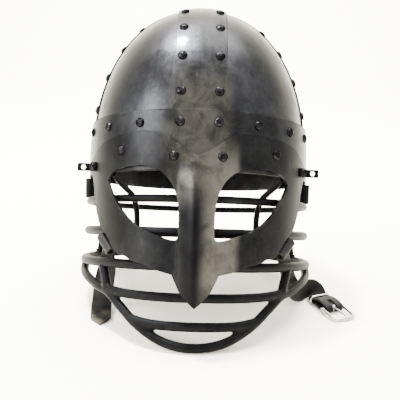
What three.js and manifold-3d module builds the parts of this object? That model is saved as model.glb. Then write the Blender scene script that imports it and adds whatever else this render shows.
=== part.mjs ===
// A norse iron helmet: a riveted frame skull with a spectacle visor, a guard of round bars and a chin strap.
// Millimetres, +Z up, the face towards -Y. The helmet is drawn level, with the middle hoop in the plane
// z = 0, and then leans back until its chin bar and the back of its lower hoop stand on the floor.
import * as THREE from "three";
import { mergeVertices } from "three/addons/utils/BufferGeometryUtils.js";
import Module from "manifold-3d";

const wasm = await Module();
wasm.setup();

// Gap between pieces that touch, and the little that a cut-out adds to it
const FIT = 0.3;
const CUT_EXTRA = 0.1;

// Skull
const SKULL_HALF_WIDTH = 99;
const SKULL_HALF_DEPTH = 116.5;
const SKULL_WIDEST_Z = 70;
const CROWN_RISE = 140.5;
const CROWN_POWER = 2.2;
const RIM_Z = 49;
const PLATE_WALL = 1.6;
const BAND_WALL = 1.6;
const CREST_WIDTH = 43;
const SIDE_BAND_WIDTH = 40;
const BROW_HEIGHT = 49;

// Visor
const VISOR_WALL = 2.4;
const FOLD_WALL = 2.88;
const VISOR_TURN = 80;
const VISOR_RISE = 80;
const CHEEK_DROP = 33;
const NASAL_DROP = 58;
const NASAL_HALF_WIDTH = 15;
const RIDGE_REACH = 9;
const EYE_SILL_Z = -6.2;
const EYE_HEIGHT = 58.8;
const EYE_INNER_TURN = 7.7;
const EYE_OUTER_TURN = 45.5;

// Rivet heads
const RIVET_RADIUS = 4;
const RIVET_HEIGHT = 2.2;
const RIVET_COLUMN = 15.5;
const RIVET_SINK = 1;

// Guard of round bars, its hoops set out from the skull or in from it
const BAR_RADIUS = 4;
const THIN_BAR_RADIUS = 3.2;
const POST_RADIUS = 3.04;
const HOOP_SIDE_OUT = 2.5;
const HOOP_FRONT_IN = 6;
const HOOP_BACK_OUT = 0.5;
const EYE_RING_Z = 27;
const LOWER_SIDE_OUT = 2.5;
const LOWER_BACK_IN = 5;
const LOWER_RING_Z = -27;
const LOWER_RING_LIFT = 8;
const CHIN_OUT = 2.5;
const CHIN_Z = -90.5;
const UPPER_BAR_Z = -51.5;
const UPPER_BAR_END_RISE = 2.5;
const UPPER_BAR_END_TURN = 2;
const MIDDLE_BAR_Z = -74;
const MIDDLE_BAR_END_RISE = 3;
const MIDDLE_BAR_END_TURN = 1;
const CHEEK_POST_TOP_TURN = 5;
const CHEEK_POST_FOOT_RISE = 1;
const REAR_POST_TURN = 110;

// Ear tabs and side sleeves
const TAB_TURN = 59;
const TAB_Z = 55;
const TAB_HEIGHT = 7;
const TAB_REACH = 13;
const TAB_WALL = 2;
const TAB_HOLE_RADIUS = 2.1;
const TAB_HOLE_SETBACK = 5.2;
const TAB_CORNER = 1;
const TAB_FOOT_MARGIN = 1;
const SLEEVE_Y = -10;
const SLEEVE_SPLAY = 0.5;
const SLEEVE_RADIUS = 4.5;
const SLEEVE_BORE_RADIUS = 2.7;

// Chin strap
const STRAP_WIDTH = 18;
const STRAP_WALL = 2.2;
const ROLL_RADIUS = 4.5;
const ROLL_BORE_RADIUS = 2.3;
const ROLL_LENGTH = 20;
const ROLL_TURN = 46.6;
const ROLL_Z = -11.5;
const FLOOR_GAP = 0.2;

// Buckle, its bar at a chosen spot beside the lower hoop
const BUCKLE_WIRE = 1.5;
const BUCKLE_LENGTH = 20;
const BUCKLE_CORNER = 6;
const BUCKLE_HEADING = -65;
const BUCKLE_OUT = 22.5;
const BUCKLE_FORWARD = 49;
const PRONG_RADIUS = 1.1;
const PRONG_COLLAR_WALL = 1;
const PRONG_COLLAR_WIDTH = 3;
const PRONG_PAST_END = 1.5;
const KEEPER_WIRE = 0.9;
const KEEPER_BACK = 20;
const FOLD_PAST_KEEPER = 3;

// Facets
const SKULL_SIDES = 40;
const CROWN_ROWS = 8;
const BAR_SIDES = 8;
const RIVET_SIDES = 8;
const ROLL_SIDES = 10;
const SLEEVE_SIDES = 12;
const FOLD_STEPS = 6;

// Worked-out sizes
const DEPTH_RATIO = SKULL_HALF_DEPTH / SKULL_HALF_WIDTH;
const HOOP_HALF_WIDTH = SKULL_HALF_WIDTH + HOOP_SIDE_OUT;
const HOOP_FRONT = SKULL_HALF_DEPTH - HOOP_FRONT_IN;
const HOOP_BACK = SKULL_HALF_DEPTH + HOOP_BACK_OUT;
const LOWER_HALF_WIDTH = HOOP_HALF_WIDTH + LOWER_SIDE_OUT;
const LOWER_BACK = HOOP_BACK - LOWER_BACK_IN;
const CHIN_FRONT = HOOP_FRONT + CHIN_OUT;
const BAND_INNER = FIT;
const BAND_OUTER = BAND_INNER + BAND_WALL;
const BROW_INNER = BAND_OUTER + FIT;
const BROW_OUTER = BROW_INNER + BAND_WALL;
const VISOR_INNER = BROW_OUTER + FIT;
const VISOR_OUTER = VISOR_INNER + VISOR_WALL;
const VISOR_HALF_WIDTH = SKULL_HALF_WIDTH + VISOR_OUTER;
const VISOR_HALF_DEPTH = VISOR_HALF_WIDTH * DEPTH_RATIO;
const TAB_FOOT_OUTER = VISOR_OUTER + FIT + BAND_WALL;
const BROW_TOP_Z = RIM_Z + BROW_HEIGHT;
const CROWN_Z = SKULL_WIDEST_Z + CROWN_RISE;
const FAR = 2 * CROWN_Z;
const WELD_RADIUS = FIT + CUT_EXTRA;
const radians = THREE.MathUtils.degToRad;

// Rivet heights on the crest and side bands, as shares of the height from the rim to the crown
const CREST_RIVET_SHARES = [0.24, 0.4, 0.595, 0.775, 0.91];
const SIDE_RIVET_SHARES = [0.4, 0.595, 0.76, 0.88];

// Brow rivets by turn from the face: loose heads in front, heads fused to the band behind
const BROW_FRONT_TURNS = [28, 49, 68];
const BROW_BACK_TURNS = [98, 132, 172, 188, 228, 262];

// Visor rivets by turn, height as a share of VISOR_RISE
const VISOR_RIVETS = [
  { turn: 10.5, rise: 0.75 },
  { turn: 37, rise: 0.819 },
];

// The visor's slot for the nasal ends at this share of VISOR_RISE
const NASAL_SLOT_TOP = 0.72;

// How far a wire or rod laps past the one it is joined to, as shares of its radius
const BAR_PAST_FRAME = 0.8;
const KEEPER_LAP = 0.7;
const PRONG_ROOT_RISE = 0.6;

// A rivet head's shoulder, as shares of its radius and height
const RIVET_SHOULDER = { radius: 0.8, height: 0.66 };

// Visor outline: turn as a share of VISOR_TURN, height as a share of the named rise or drop beside it
const VISOR_TOP = [
  { turn: 0, rise: 0.75 },
  { turn: 0.075, rise: 0.825 },
  { turn: 0.175, rise: 0.955 },
  { turn: 0.26, rise: 1.0 },
  { turn: 0.41, rise: 0.997 },
  { turn: 0.575, rise: 0.944 },
  { turn: 0.65, rise: 0.9 },
  { turn: 0.706, rise: 0.84 },
  { turn: 0.76, rise: 0.775 },
  { turn: 0.785, rise: 0.735 },
];
const VISOR_REAR = [
  { turn: 0.79, rise: 0.625 },
  { turn: 0.755, rise: 0.575 },
  { turn: 0.725, rise: 0.45 },
  { turn: 0.71, rise: 0.34 },
  { turn: 0.68, rise: 0.2 },
  { turn: 0.63, rise: 0.05 },
];
const VISOR_CHEEK = [
  { turn: 0.55, drop: 0.17 },
  { turn: 0.48, drop: 0.53 },
  { turn: 0.41, drop: 0.61 },
  { turn: 0.3675, drop: 0.7 },
  { turn: 0.27, drop: 0.8 },
  { turn: 0.21, drop: 0.905 },
  { turn: 0.125, drop: 1.0 },
];
const VISOR_NASAL = [
  { turn: 0.115, drop: 0.63 },
  { turn: 0.08, drop: 0.8 },
  { turn: 0.04, drop: 0.91 },
  { turn: 0, drop: 1.0 },
];

// Eye opening: across from the nose to the outer corner, up from the sill
const EYE_EDGE = [
  { across: 0, up: 0.24 },
  { across: 0.008, up: 0.445 },
  { across: 0.035, up: 0.6 },
  { across: 0.095, up: 0.76 },
  { across: 0.17, up: 0.86 },
  { across: 0.265, up: 0.94 },
  { across: 0.38, up: 0.985 },
  { across: 0.56, up: 1.0 },
  { across: 0.75, up: 0.98 },
  { across: 0.91, up: 0.92 },
  { across: 1.0, up: 0.82 },
  { across: 0.91, up: 0.64 },
  { across: 0.775, up: 0.445 },
  { across: 0.625, up: 0.275 },
  { across: 0.46, up: 0.15 },
  { across: 0.29, up: 0.075 },
  { across: 0.115, up: 0.01 },
  { across: 0.035, up: 0 },
  { across: 0.003, up: 0.045 },
];

// Nasal ridge: height as a share of the rise or drop, reach as a share of RIDGE_REACH
const NASAL_RIDGE = [
  { height: -1.02, reach: 0.75 },
  { height: -0.6, reach: 1.0 },
  { height: 0.1, reach: 1.0 },
  { height: 0.45, reach: 0.85 },
  { height: 0.66, reach: 0.35 },
  { height: 0.78, reach: 0.05 },
];

// Chin loop from the lower hoop's side to the front, height as a share of the way down to CHIN_Z
const CHIN_LOOP = [
  { turn: 91.5, down: 0.0 },
  { turn: 89, down: 0.055 },
  { turn: 84, down: 0.11 },
  { turn: 76, down: 0.18 },
  { turn: 65, down: 0.24 },
  { turn: 53, down: 0.325 },
  { turn: 44, down: 0.385 },
  { turn: 36.6, down: 0.525 },
  { turn: 26.7, down: 0.74 },
  { turn: 16.5, down: 0.905 },
  { turn: 8, down: 0.98 },
  { turn: 0, down: 1.0 },
];

// The rows of CHIN_LOOP where the upper bar with its post, and the middle bar, meet it
const CHIN_JOINT_ROW = 6;
const MIDDLE_BAR_ROW = 8;

// Neck bar from inside the rim down to the lower hoop, height as a share of RIM_Z
const NECK_BAR = [
  { turn: 112, height: 1.2 },
  { turn: 118, height: 1.06 },
  { turn: 126, height: 0.92 },
  { turn: 132, height: 0.78 },
  { turn: 134.5, height: 0.61 },
  { turn: 136, height: 0.41 },
  { turn: 136.5, height: 0.16 },
  { turn: 136.5, height: -0.12 },
];

// The strap routes as chosen points on the standing helmet, with the direction of the strap's width at each.
// A point is x as a share of LOWER_HALF_WIDTH, y of CHIN_FRONT and z of the middle hoop's height, 0 on the
// floor. A narrower place has its width as a share of STRAP_WIDTH.
const LEFT_ROUTE = [
  { at: [-0.7135, -0.6248, 1.0977], across: [0.55, -0.72, -0.43] },
  { at: [-0.7192, -0.5947, 0.946], across: [0.68, -0.62, -0.4] },
  { at: [-0.7356, -0.5708, 0.7764], across: [0.82, -0.48, -0.32] },
  { at: [-0.7596, -0.5442, 0.5711], across: [0.93, -0.3, -0.2] },
  { at: [-0.7788, -0.5133, 0.357], across: [0.98, -0.15, -0.1] },
  { at: [-0.7923, -0.4912, 0.1696], across: [1, -0.05, 0] },
  { at: [-0.7981, -0.5133, 0.0643], across: [1, -0.03, 0] },
  { at: [-0.7933, -0.5664, 0.0303], across: [1, 0, 0] },
  { at: [-0.7837, -0.6372, 0], across: [1, 0.05, 0] },
  { at: [-0.7712, -0.7168, 0], across: [1, 0.08, 0], width: 0.8889 },
  { at: [-0.7625, -0.8053, 0], across: [1, 0.08, 0], width: 0.1111 },
];

// The right strap passes under the chin loop and turns on its edge towards the buckle
const RIGHT_ROUTE = [
  { at: [0.7212, -0.6283, 1.1066], across: [0.51, 0.74, 0.43] },
  { at: [0.7404, -0.6062, 0.9549], across: [0.5, 0.72, 0.48] },
  { at: [0.774, -0.5664, 0.7675], across: [0.48, 0.68, 0.55] },
  { at: [0.8173, -0.5044, 0.5533], across: [0.45, 0.62, 0.64] },
  { at: [0.8654, -0.4115, 0.357], across: [0.42, 0.6, 0.68] },
  { at: [0.9183, -0.3186, 0.2142], across: [0.35, 0.5, 0.79] },
  { at: [0.9712, -0.2301, 0.1785], across: [0.2, 0.3, 0.93] },
  { at: [1.0192, -0.1593, 0.1821], across: [0.05, 0.1, 1] },
  { at: [1.0673, -0.1283, 0.1785], across: [0.2, 0.1, 0.97] },
  { at: [1.1058, -0.1549, 0.1428], across: [0.6, 0.3, 0.74] },
  { at: [1.1202, -0.2035, 0.0821], across: [0.88, 0.38, 0.2] },
];

// The way that a roll points, and the way down to the place where its strap starts
const ROLL_ALONG = [0.51, 0.58, 0.63];
const ROLL_UNDERSIDE = [0, 0.85, -0.53];
const ROLL_START_ACROSS = [0.51, 0.74, 0.43];

const STEEL = { color: 0x4a4a4b, roughness: 0.45, metalness: 0.85 };
const DARK_STEEL = { color: 0x3a3a3b, roughness: 0.5, metalness: 0.85 };
const RIVET_STEEL = { color: 0x39373a, roughness: 0.4, metalness: 0.85 };
const BAR_STEEL = { color: 0x2f3031, roughness: 0.4, metalness: 0.8 };
const LEATHER = { color: 0x1c1a19, roughness: 0.65, metalness: 0 };
const NICKEL = { color: 0xb9b9b6, roughness: 0.2, metalness: 1 };

// A closed three.js geometry as a manifold-3d solid
function solid(geometry) {
  const bare = geometry.clone();
  bare.deleteAttribute("normal");
  bare.deleteAttribute("uv");
  const merged = mergeVertices(bare, 1e-4);
  return new wasm.Manifold(
    new wasm.Mesh({
      numProp: 3,
      vertProperties: new Float32Array(merged.attributes.position.array),
      triVerts: new Uint32Array(merged.index.array),
    }),
  );
}

// A solid as a named mesh with its own material
function piece(name, shape, look) {
  const mesh = shape.getMesh();
  const geometry = new THREE.BufferGeometry();
  geometry.setAttribute("position", new THREE.BufferAttribute(new Float32Array(mesh.vertProperties), 3));
  geometry.setIndex(new THREE.BufferAttribute(new Uint32Array(mesh.triVerts), 1));
  geometry.computeVertexNormals();
  const made = new THREE.Mesh(geometry, new THREE.MeshStandardMaterial(look));
  made.name = name;
  return made;
}

function joined(solids) {
  return solids.reduce((sum, next) => sum.add(next));
}

// A box between two corners
function block(low, high) {
  const size = high.map((value, axis) => value - low[axis]);
  const centre = high.map((value, axis) => (value + low[axis]) / 2);
  return solid(new THREE.BoxGeometry(...size).translate(...centre));
}

// The skull's half-width at a height, as a share of its widest
function crownShare(z, outset = 0) {
  const up = Math.max(0, z - SKULL_WIDEST_Z) / (CROWN_RISE + outset);
  return Math.pow(Math.max(0, 1 - Math.pow(up, CROWN_POWER)), 1 / CROWN_POWER);
}

// The skull's solid form, grown by an outset and reaching down to a height
function dome(outset, bottom) {
  const profile = [new THREE.Vector2(0, bottom), new THREE.Vector2(SKULL_HALF_WIDTH + outset, bottom)];
  for (let row = 0; row < CROWN_ROWS; row += 1) {
    const angle = (row / CROWN_ROWS) * (Math.PI / 2);
    const radius = (SKULL_HALF_WIDTH + outset) * Math.pow(Math.cos(angle), 2 / CROWN_POWER);
    const rise = (CROWN_RISE + outset) * Math.pow(Math.sin(angle), 2 / CROWN_POWER);
    profile.push(new THREE.Vector2(radius, SKULL_WIDEST_Z + rise));
  }
  profile.push(new THREE.Vector2(0, CROWN_Z + outset));
  const geometry = new THREE.LatheGeometry(profile, SKULL_SIDES);
  geometry.rotateX(Math.PI / 2);
  geometry.scale(1, DEPTH_RATIO, 1);
  return solid(geometry);
}

// A wall that follows the skull between two outsets
function skullWall(inner, outer, bottom) {
  return dome(outer, bottom).subtract(dome(inner, bottom - 1));
}

// A point on the plan ellipse, turned from the face towards +X
function planPoint(turn, halfWidth, halfDepth, z) {
  const angle = radians(turn);
  return new THREE.Vector3(halfWidth * Math.sin(angle), -halfDepth * Math.cos(angle), z);
}

function skullPlates() {
  const wall = skullWall(-PLATE_WALL, 0, RIM_Z);
  const made = [];
  for (const [end, front] of [["front", -1], ["back", 1]]) {
    for (const [side, right] of [["left", -1], ["right", 1]]) {
      const xs = [(right * FIT) / 2, right * FAR].sort((a, b) => a - b);
      const ys = [(front * FIT) / 2, front * FAR].sort((a, b) => a - b);
      const quarter = block([xs[0], ys[0], -FAR], [xs[1], ys[1], FAR]);
      made.push(piece(`skull_plate_${end}_${side}`, wall.intersect(quarter), STEEL));
    }
  }
  return made;
}

// Where a rivet sits on the skull, grown by an outset
function onSkull(x, z, outset, front) {
  const width = (SKULL_HALF_WIDTH + outset) * crownShare(z, outset);
  const depth = width * DEPTH_RATIO;
  return new THREE.Vector3(x, front * depth * Math.sqrt(1 - (x / width) ** 2), z);
}

function besideSkull(y, z, outset, right) {
  const width = (SKULL_HALF_WIDTH + outset) * crownShare(z, outset);
  const depth = width * DEPTH_RATIO;
  return new THREE.Vector3(right * width * Math.sqrt(1 - (y / depth) ** 2), y, z);
}

// The skull's outward direction at a point
function skullNormal(point) {
  const width = SKULL_HALF_WIDTH;
  const depth = SKULL_HALF_DEPTH;
  const q = Math.hypot(point.x / width, point.y / depth);
  const around = Math.pow(q, CROWN_POWER - 2);
  const up = Math.max(0, point.z - SKULL_WIDEST_Z) / CROWN_RISE;
  return new THREE.Vector3(
    (around * point.x) / width ** 2,
    (around * point.y) / depth ** 2,
    Math.pow(up, CROWN_POWER - 1) / CROWN_RISE,
  ).normalize();
}

// A domed head standing on a surface point, sunk by a depth
function rivetHead(point, normal, sink) {
  const profile = [
    new THREE.Vector2(0, -sink),
    new THREE.Vector2(RIVET_RADIUS, -sink),
    new THREE.Vector2(RIVET_RADIUS * RIVET_SHOULDER.radius, RIVET_HEIGHT * RIVET_SHOULDER.height),
    new THREE.Vector2(0, RIVET_HEIGHT),
  ];
  const geometry = new THREE.LatheGeometry(profile, RIVET_SIDES);
  const turn = new THREE.Quaternion().setFromUnitVectors(new THREE.Vector3(0, 1, 0), normal);
  geometry.applyQuaternion(turn);
  geometry.translate(point.x, point.y, point.z);
  return solid(geometry);
}

// A head of its own, its foot cut to lie on the skull grown by an outset
function looseRivet(name, point, outset) {
  const head = rivetHead(point, skullNormal(point), RIVET_SINK);
  return piece(name, head.subtract(dome(outset + FIT, -NASAL_DROP)), RIVET_STEEL);
}

function fusedRivets(points) {
  return points.map((point) => rivetHead(point, skullNormal(point), RIVET_SINK));
}

function crestBand() {
  const half = CREST_WIDTH / 2;
  const room = block([-half, -FAR, -FAR], [half, FAR, FAR]);
  const strip = skullWall(BAND_INNER, BAND_OUTER, RIM_Z).intersect(room);
  const backPoints = [];
  for (const share of CREST_RIVET_SHARES.slice(1)) {
    for (const right of [-1, 1]) {
      backPoints.push(onSkull(right * RIVET_COLUMN, rivetZ(share), BAND_OUTER, 1));
    }
  }
  return piece("crest_band", joined([strip, ...fusedRivets(backPoints)]), STEEL);
}

function rivetZ(share) {
  return RIM_Z + share * (CROWN_Z - RIM_Z);
}

function sideBand(side, right) {
  const start = CREST_WIDTH / 2 + FIT;
  const half = SIDE_BAND_WIDTH / 2;
  const xs = [right * start, right * FAR].sort((a, b) => a - b);
  const room = block([xs[0], -half, -FAR], [xs[1], half, FAR]);
  const strip = skullWall(BAND_INNER, BAND_OUTER, RIM_Z).intersect(room);
  const rivetY = half - RIVET_RADIUS - RIVET_SINK;
  const points = [];
  for (const share of SIDE_RIVET_SHARES) {
    for (const front of [-1, 1]) {
      points.push(besideSkull(front * rivetY, rivetZ(share), BAND_OUTER, right));
    }
  }
  return piece(`side_band_${side}`, joined([strip, ...fusedRivets(points)]), STEEL);
}

function browBand() {
  const cut = block([-FAR, -FAR, -FAR], [FAR, FAR, BROW_TOP_Z]);
  const strip = skullWall(BROW_INNER, BROW_OUTER, RIM_Z).intersect(cut);
  const points = BROW_BACK_TURNS.map((turn) => browPoint(turn));
  return piece("brow_band", joined([strip, ...fusedRivets(points)]), STEEL);
}

function browPoint(turn) {
  const z = rivetZ(CREST_RIVET_SHARES[0]);
  const width = (SKULL_HALF_WIDTH + BROW_OUTER) * crownShare(z, BROW_OUTER);
  return planPoint(turn, width, width * DEPTH_RATIO, z);
}

function frontRivets() {
  const made = [];
  for (const [side, right] of [["left", -1], ["right", 1]]) {
    CREST_RIVET_SHARES.forEach((share, index) => {
      const outset = index === 0 ? BROW_OUTER : BAND_OUTER;
      const point = onSkull(right * RIVET_COLUMN, rivetZ(share), outset, -1);
      made.push(looseRivet(`crest_rivet_${side}_${index + 1}`, point, outset));
    });
    BROW_FRONT_TURNS.forEach((turn, index) => {
      const point = browPoint(right * turn);
      made.push(looseRivet(`brow_rivet_${side}_${index + 1}`, point, BROW_OUTER));
    });
    VISOR_RIVETS.forEach((row, index) => {
      const point = onVisor(right * row.turn, row.rise * VISOR_RISE);
      made.push(looseRivet(`visor_rivet_${side}_${index + 1}`, point, VISOR_OUTER));
    });
    const footWidth = SKULL_HALF_WIDTH + TAB_FOOT_OUTER;
    const footPoint = planPoint(right * TAB_TURN, footWidth, footWidth * DEPTH_RATIO, TAB_Z);
    made.push(looseRivet(`tab_rivet_${side}`, footPoint, TAB_FOOT_OUTER));
  }
  return made;
}

// A point on the visor's outer face
function onVisor(turn, z) {
  return planPoint(turn, VISOR_HALF_WIDTH, VISOR_HALF_DEPTH, z);
}

// A prism along Y from an outline in X and Z, covering the front half
function frontPrism(points) {
  const shape = new THREE.Shape(points.map((point) => new THREE.Vector2(point.x, point.y)));
  const geometry = new THREE.ExtrudeGeometry(shape, { depth: FAR, bevelEnabled: false });
  geometry.rotateX(Math.PI / 2);
  return solid(geometry);
}

function visorOutline() {
  const right = [
    ...VISOR_TOP.map((row) => [row.turn, row.rise * VISOR_RISE]),
    ...VISOR_REAR.map((row) => [row.turn, row.rise * VISOR_RISE]),
    ...VISOR_CHEEK.map((row) => [row.turn, -row.drop * CHEEK_DROP]),
    ...VISOR_NASAL.map((row) => [row.turn, -row.drop * NASAL_DROP]),
  ].map(([turn, z]) => new THREE.Vector2(onVisor(turn * VISOR_TURN, z).x, z));
  const left = right.slice(1, -1).reverse().map((point) => new THREE.Vector2(-point.x, point.y));
  return [...right, ...left];
}

function eyeOutline(right) {
  return EYE_EDGE.map((row) => {
    const turn = EYE_INNER_TURN + row.across * (EYE_OUTER_TURN - EYE_INNER_TURN);
    const z = EYE_SILL_Z + row.up * EYE_HEIGHT;
    return new THREE.Vector2(onVisor(right * turn, z).x, z);
  });
}

// A closed body lofted through rings of equal point count, with flat ends
function loft(rings) {
  const count = rings[0].length;
  const positions = rings.flat().flatMap((point) => [point.x, point.y, point.z]);
  const faces = [];
  for (let ring = 0; ring + 1 < rings.length; ring += 1) {
    for (let spot = 0; spot < count; spot += 1) {
      const next = (spot + 1) % count;
      const a = ring * count + spot;
      const b = ring * count + next;
      faces.push([a, b, b + count], [a, b + count, a + count]);
    }
  }
  const last = (rings.length - 1) * count;
  for (const [a, b, c] of THREE.ShapeUtils.triangulateShape(flatten(rings[0]), [])) {
    faces.push([a, c, b]);
    faces.push([a + last, b + last, c + last]);
  }
  const geometry = new THREE.BufferGeometry();
  geometry.setAttribute("position", new THREE.Float32BufferAttribute(positions, 3));
  geometry.setIndex(faces.flat());
  return solid(geometry);
}

// A ring's points in its own plane, for closing its end
function flatten(ring) {
  const along = ring[1].clone().sub(ring[0]).normalize();
  const normal = new THREE.Vector3();
  ring.forEach((point, index) => {
    normal.add(point.clone().cross(ring[(index + 1) % ring.length]));
  });
  const across = normal.normalize().cross(along);
  return ring.map((point) => new THREE.Vector2(point.dot(along), point.dot(across)));
}

// The folded nasal, a gable in plan
function nasal() {
  const half = NASAL_HALF_WIDTH + RIVET_SINK;
  const sideY = -VISOR_HALF_DEPTH * Math.sqrt(1 - (half / VISOR_HALF_WIDTH) ** 2);
  const rings = NASAL_RIDGE.map((row) => {
    const z = row.height * (row.height < 0 ? NASAL_DROP : VISOR_RISE);
    const reach = row.reach * RIDGE_REACH;
    const ridgeY = -VISOR_HALF_DEPTH - reach;
    return [
      new THREE.Vector3(-half, sideY, z),
      new THREE.Vector3(0, ridgeY, z),
      new THREE.Vector3(half, sideY, z),
      new THREE.Vector3(half, sideY + VISOR_WALL, z),
      new THREE.Vector3(0, ridgeY + FOLD_WALL, z),
      new THREE.Vector3(-half, sideY + VISOR_WALL, z),
    ];
  });
  return loft(rings);
}

function visor() {
  const front = block([-FAR, -FAR, -FAR], [FAR, onVisor(VISOR_TURN, 0).y, FAR]);
  const wall = skullWall(VISOR_INNER, VISOR_OUTER, -NASAL_DROP - 1).intersect(front);
  const outline = frontPrism(visorOutline());
  const eyes = [-1, 1].map((right) => frontPrism(eyeOutline(right)));
  const slot = block([-NASAL_HALF_WIDTH, -FAR, -FAR], [NASAL_HALF_WIDTH, 0, VISOR_RISE * NASAL_SLOT_TOP]);
  const plate = wall.subtract(slot).add(nasal());
  return piece("visor", plate.intersect(outline).subtract(eyes[0]).subtract(eyes[1]), DARK_STEEL);
}

// The round section of a bar
function barSection(radius) {
  const shape = new THREE.Shape();
  for (let side = 0; side < BAR_SIDES; side += 1) {
    const angle = ((side + 0.5) / BAR_SIDES) * 2 * Math.PI;
    const spot = [radius * Math.cos(angle), radius * Math.sin(angle)];
    if (side === 0) shape.moveTo(...spot);
    else shape.lineTo(...spot);
  }
  shape.closePath();
  return shape;
}

// A round bar along a curve with two ends
function bar(curve, radius, steps) {
  const options = { steps, extrudePath: curve, bevelEnabled: false };
  return solid(new THREE.ExtrudeGeometry(barSection(radius), options));
}

// A bar with its ends cut to sit round the hoops that it meets
function coped(shape, hoopCuts) {
  return hoopCuts.reduce((rest, cut) => rest.subtract(cut), shape);
}

function eyeRingShape(extra) {
  return hoop(THIN_BAR_RADIUS + extra, HOOP_HALF_WIDTH, HOOP_FRONT, HOOP_BACK, () => EYE_RING_Z);
}

function middleRingShape(extra) {
  return hoop(BAR_RADIUS + extra, HOOP_HALF_WIDTH, HOOP_FRONT, HOOP_BACK, () => 0);
}

function lowerRingShape(extra) {
  return hoop(BAR_RADIUS + extra, LOWER_HALF_WIDTH, HOOP_FRONT, LOWER_BACK, lowerRingZ);
}

function smooth(points) {
  return new THREE.CatmullRomCurve3(points, false, "centripetal");
}

// A closed hoop of round bar in plan, its height given by a function of the turn
function hoop(radius, halfWidth, front, back, heightAt) {
  const steps = SKULL_SIDES;
  const positions = [];
  const faces = [];
  for (let step = 0; step < steps; step += 1) {
    const turn = (step / steps) * 360;
    const depth = Math.cos(radians(turn)) > 0 ? front : back;
    const centre = planPoint(turn, halfWidth, depth, heightAt(turn));
    const out = new THREE.Vector3(centre.x / halfWidth ** 2, centre.y / depth ** 2, 0).normalize();
    for (let side = 0; side < BAR_SIDES; side += 1) {
      const angle = ((side + 0.5) / BAR_SIDES) * 2 * Math.PI;
      const spot = centre.clone().addScaledVector(out, radius * Math.cos(angle));
      positions.push(spot.x, spot.y, spot.z + radius * Math.sin(angle));
      const next = ((step + 1) % steps) * BAR_SIDES;
      const here = step * BAR_SIDES;
      const beside = (side + 1) % BAR_SIDES;
      faces.push(here + side, next + side, next + beside);
      faces.push(here + side, next + beside, here + beside);
    }
  }
  const geometry = new THREE.BufferGeometry();
  geometry.setAttribute("position", new THREE.Float32BufferAttribute(positions, 3));
  geometry.setIndex(faces);
  return solid(geometry);
}

// The lower hoop rises towards the neck
function lowerRingZ(turn) {
  return LOWER_RING_Z + LOWER_RING_LIFT * Math.pow((1 - Math.cos(radians(turn))) / 2, 3);
}

function hoops() {
  return [
    piece("eye_ring", eyeRingShape(0), BAR_STEEL),
    piece("middle_ring", middleRingShape(0), BAR_STEEL),
    piece("lower_ring", lowerRingShape(0), BAR_STEEL),
  ];
}

// The chin loop with its cross bars and cheek posts, welded into one
function chinGuard() {
  const hang = lowerRingZ(90);
  const half = CHIN_LOOP.map((row) => ({ turn: row.turn, z: hang + row.down * (CHIN_Z - hang) }));
  const guardPoint = (turn, z) => planPoint(turn, LOWER_HALF_WIDTH, CHIN_FRONT, z);
  const right = half.map((row) => guardPoint(row.turn, row.z));
  const left = half.slice(0, -1).reverse().map((row) => guardPoint(-row.turn, row.z));
  const loop = bar(smooth([...right, ...left]), BAR_RADIUS, 32);
  const joint = half[CHIN_JOINT_ROW];
  const crossBar = (endTurn, endZ, middleZ, steps) => {
    const rows = [-1, -0.5, 0, 0.5, 1].map((share) => {
      return guardPoint(share * endTurn, middleZ + (endZ - middleZ) * share ** 4);
    });
    return bar(smooth(rows), BAR_RADIUS, steps);
  };
  const upperTurn = joint.turn - UPPER_BAR_END_TURN;
  const upperBar = crossBar(upperTurn, joint.z + UPPER_BAR_END_RISE, UPPER_BAR_Z, 10);
  const middleTurn = half[MIDDLE_BAR_ROW].turn + MIDDLE_BAR_END_TURN;
  const middleBar = crossBar(middleTurn, MIDDLE_BAR_Z + MIDDLE_BAR_END_RISE, MIDDLE_BAR_Z, 6);
  const posts = [-1, 1].map((side) => {
    const topTurn = joint.turn + CHEEK_POST_TOP_TURN;
    const top = planPoint(side * topTurn, LOWER_HALF_WIDTH, HOOP_FRONT, lowerRingZ(topTurn));
    const bottom = guardPoint(side * joint.turn, joint.z + CHEEK_POST_FOOT_RISE);
    return bar(new THREE.LineCurve3(top, bottom), BAR_RADIUS, 1);
  });
  const guard = joined([loop, upperBar, middleBar, ...posts]);
  return piece("chin_guard", coped(guard, [lowerRingShape(WELD_RADIUS)]), BAR_STEEL);
}

function rearPosts() {
  const cuts = [eyeRingShape(WELD_RADIUS), middleRingShape(WELD_RADIUS), lowerRingShape(WELD_RADIUS)];
  const made = [];
  for (const [side, right] of [["left", -1], ["right", 1]]) {
    const turn = right * REAR_POST_TURN;
    const onHoop = (z) => planPoint(turn, HOOP_HALF_WIDTH, HOOP_BACK, z);
    const foot = planPoint(turn, LOWER_HALF_WIDTH, LOWER_BACK, lowerRingZ(REAR_POST_TURN));
    const levels = [["upper", [onHoop(EYE_RING_Z), onHoop(0)]], ["lower", [onHoop(0), foot]]];
    for (const [level, ends] of levels) {
      const shape = bar(new THREE.LineCurve3(...ends), POST_RADIUS, 1);
      made.push(piece(`rear_post_${side}_${level}`, coped(shape, cuts), BAR_STEEL));
    }
  }
  return made;
}

function neckBar(side, right) {
  const inset = BAR_RADIUS + THIN_BAR_RADIUS + 2 * FIT;
  const points = NECK_BAR.map((row) => {
    return planPoint(right * row.turn, HOOP_HALF_WIDTH - inset, HOOP_BACK - inset, row.height * RIM_Z);
  });
  const footTurn = NECK_BAR[NECK_BAR.length - 1].turn;
  points.push(planPoint(right * footTurn, LOWER_HALF_WIDTH, LOWER_BACK, lowerRingZ(footTurn)));
  const shape = bar(smooth(points), THIN_BAR_RADIUS, 14);
  return piece(`neck_bar_${side}`, coped(shape, [lowerRingShape(WELD_RADIUS)]), BAR_STEEL);
}

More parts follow.
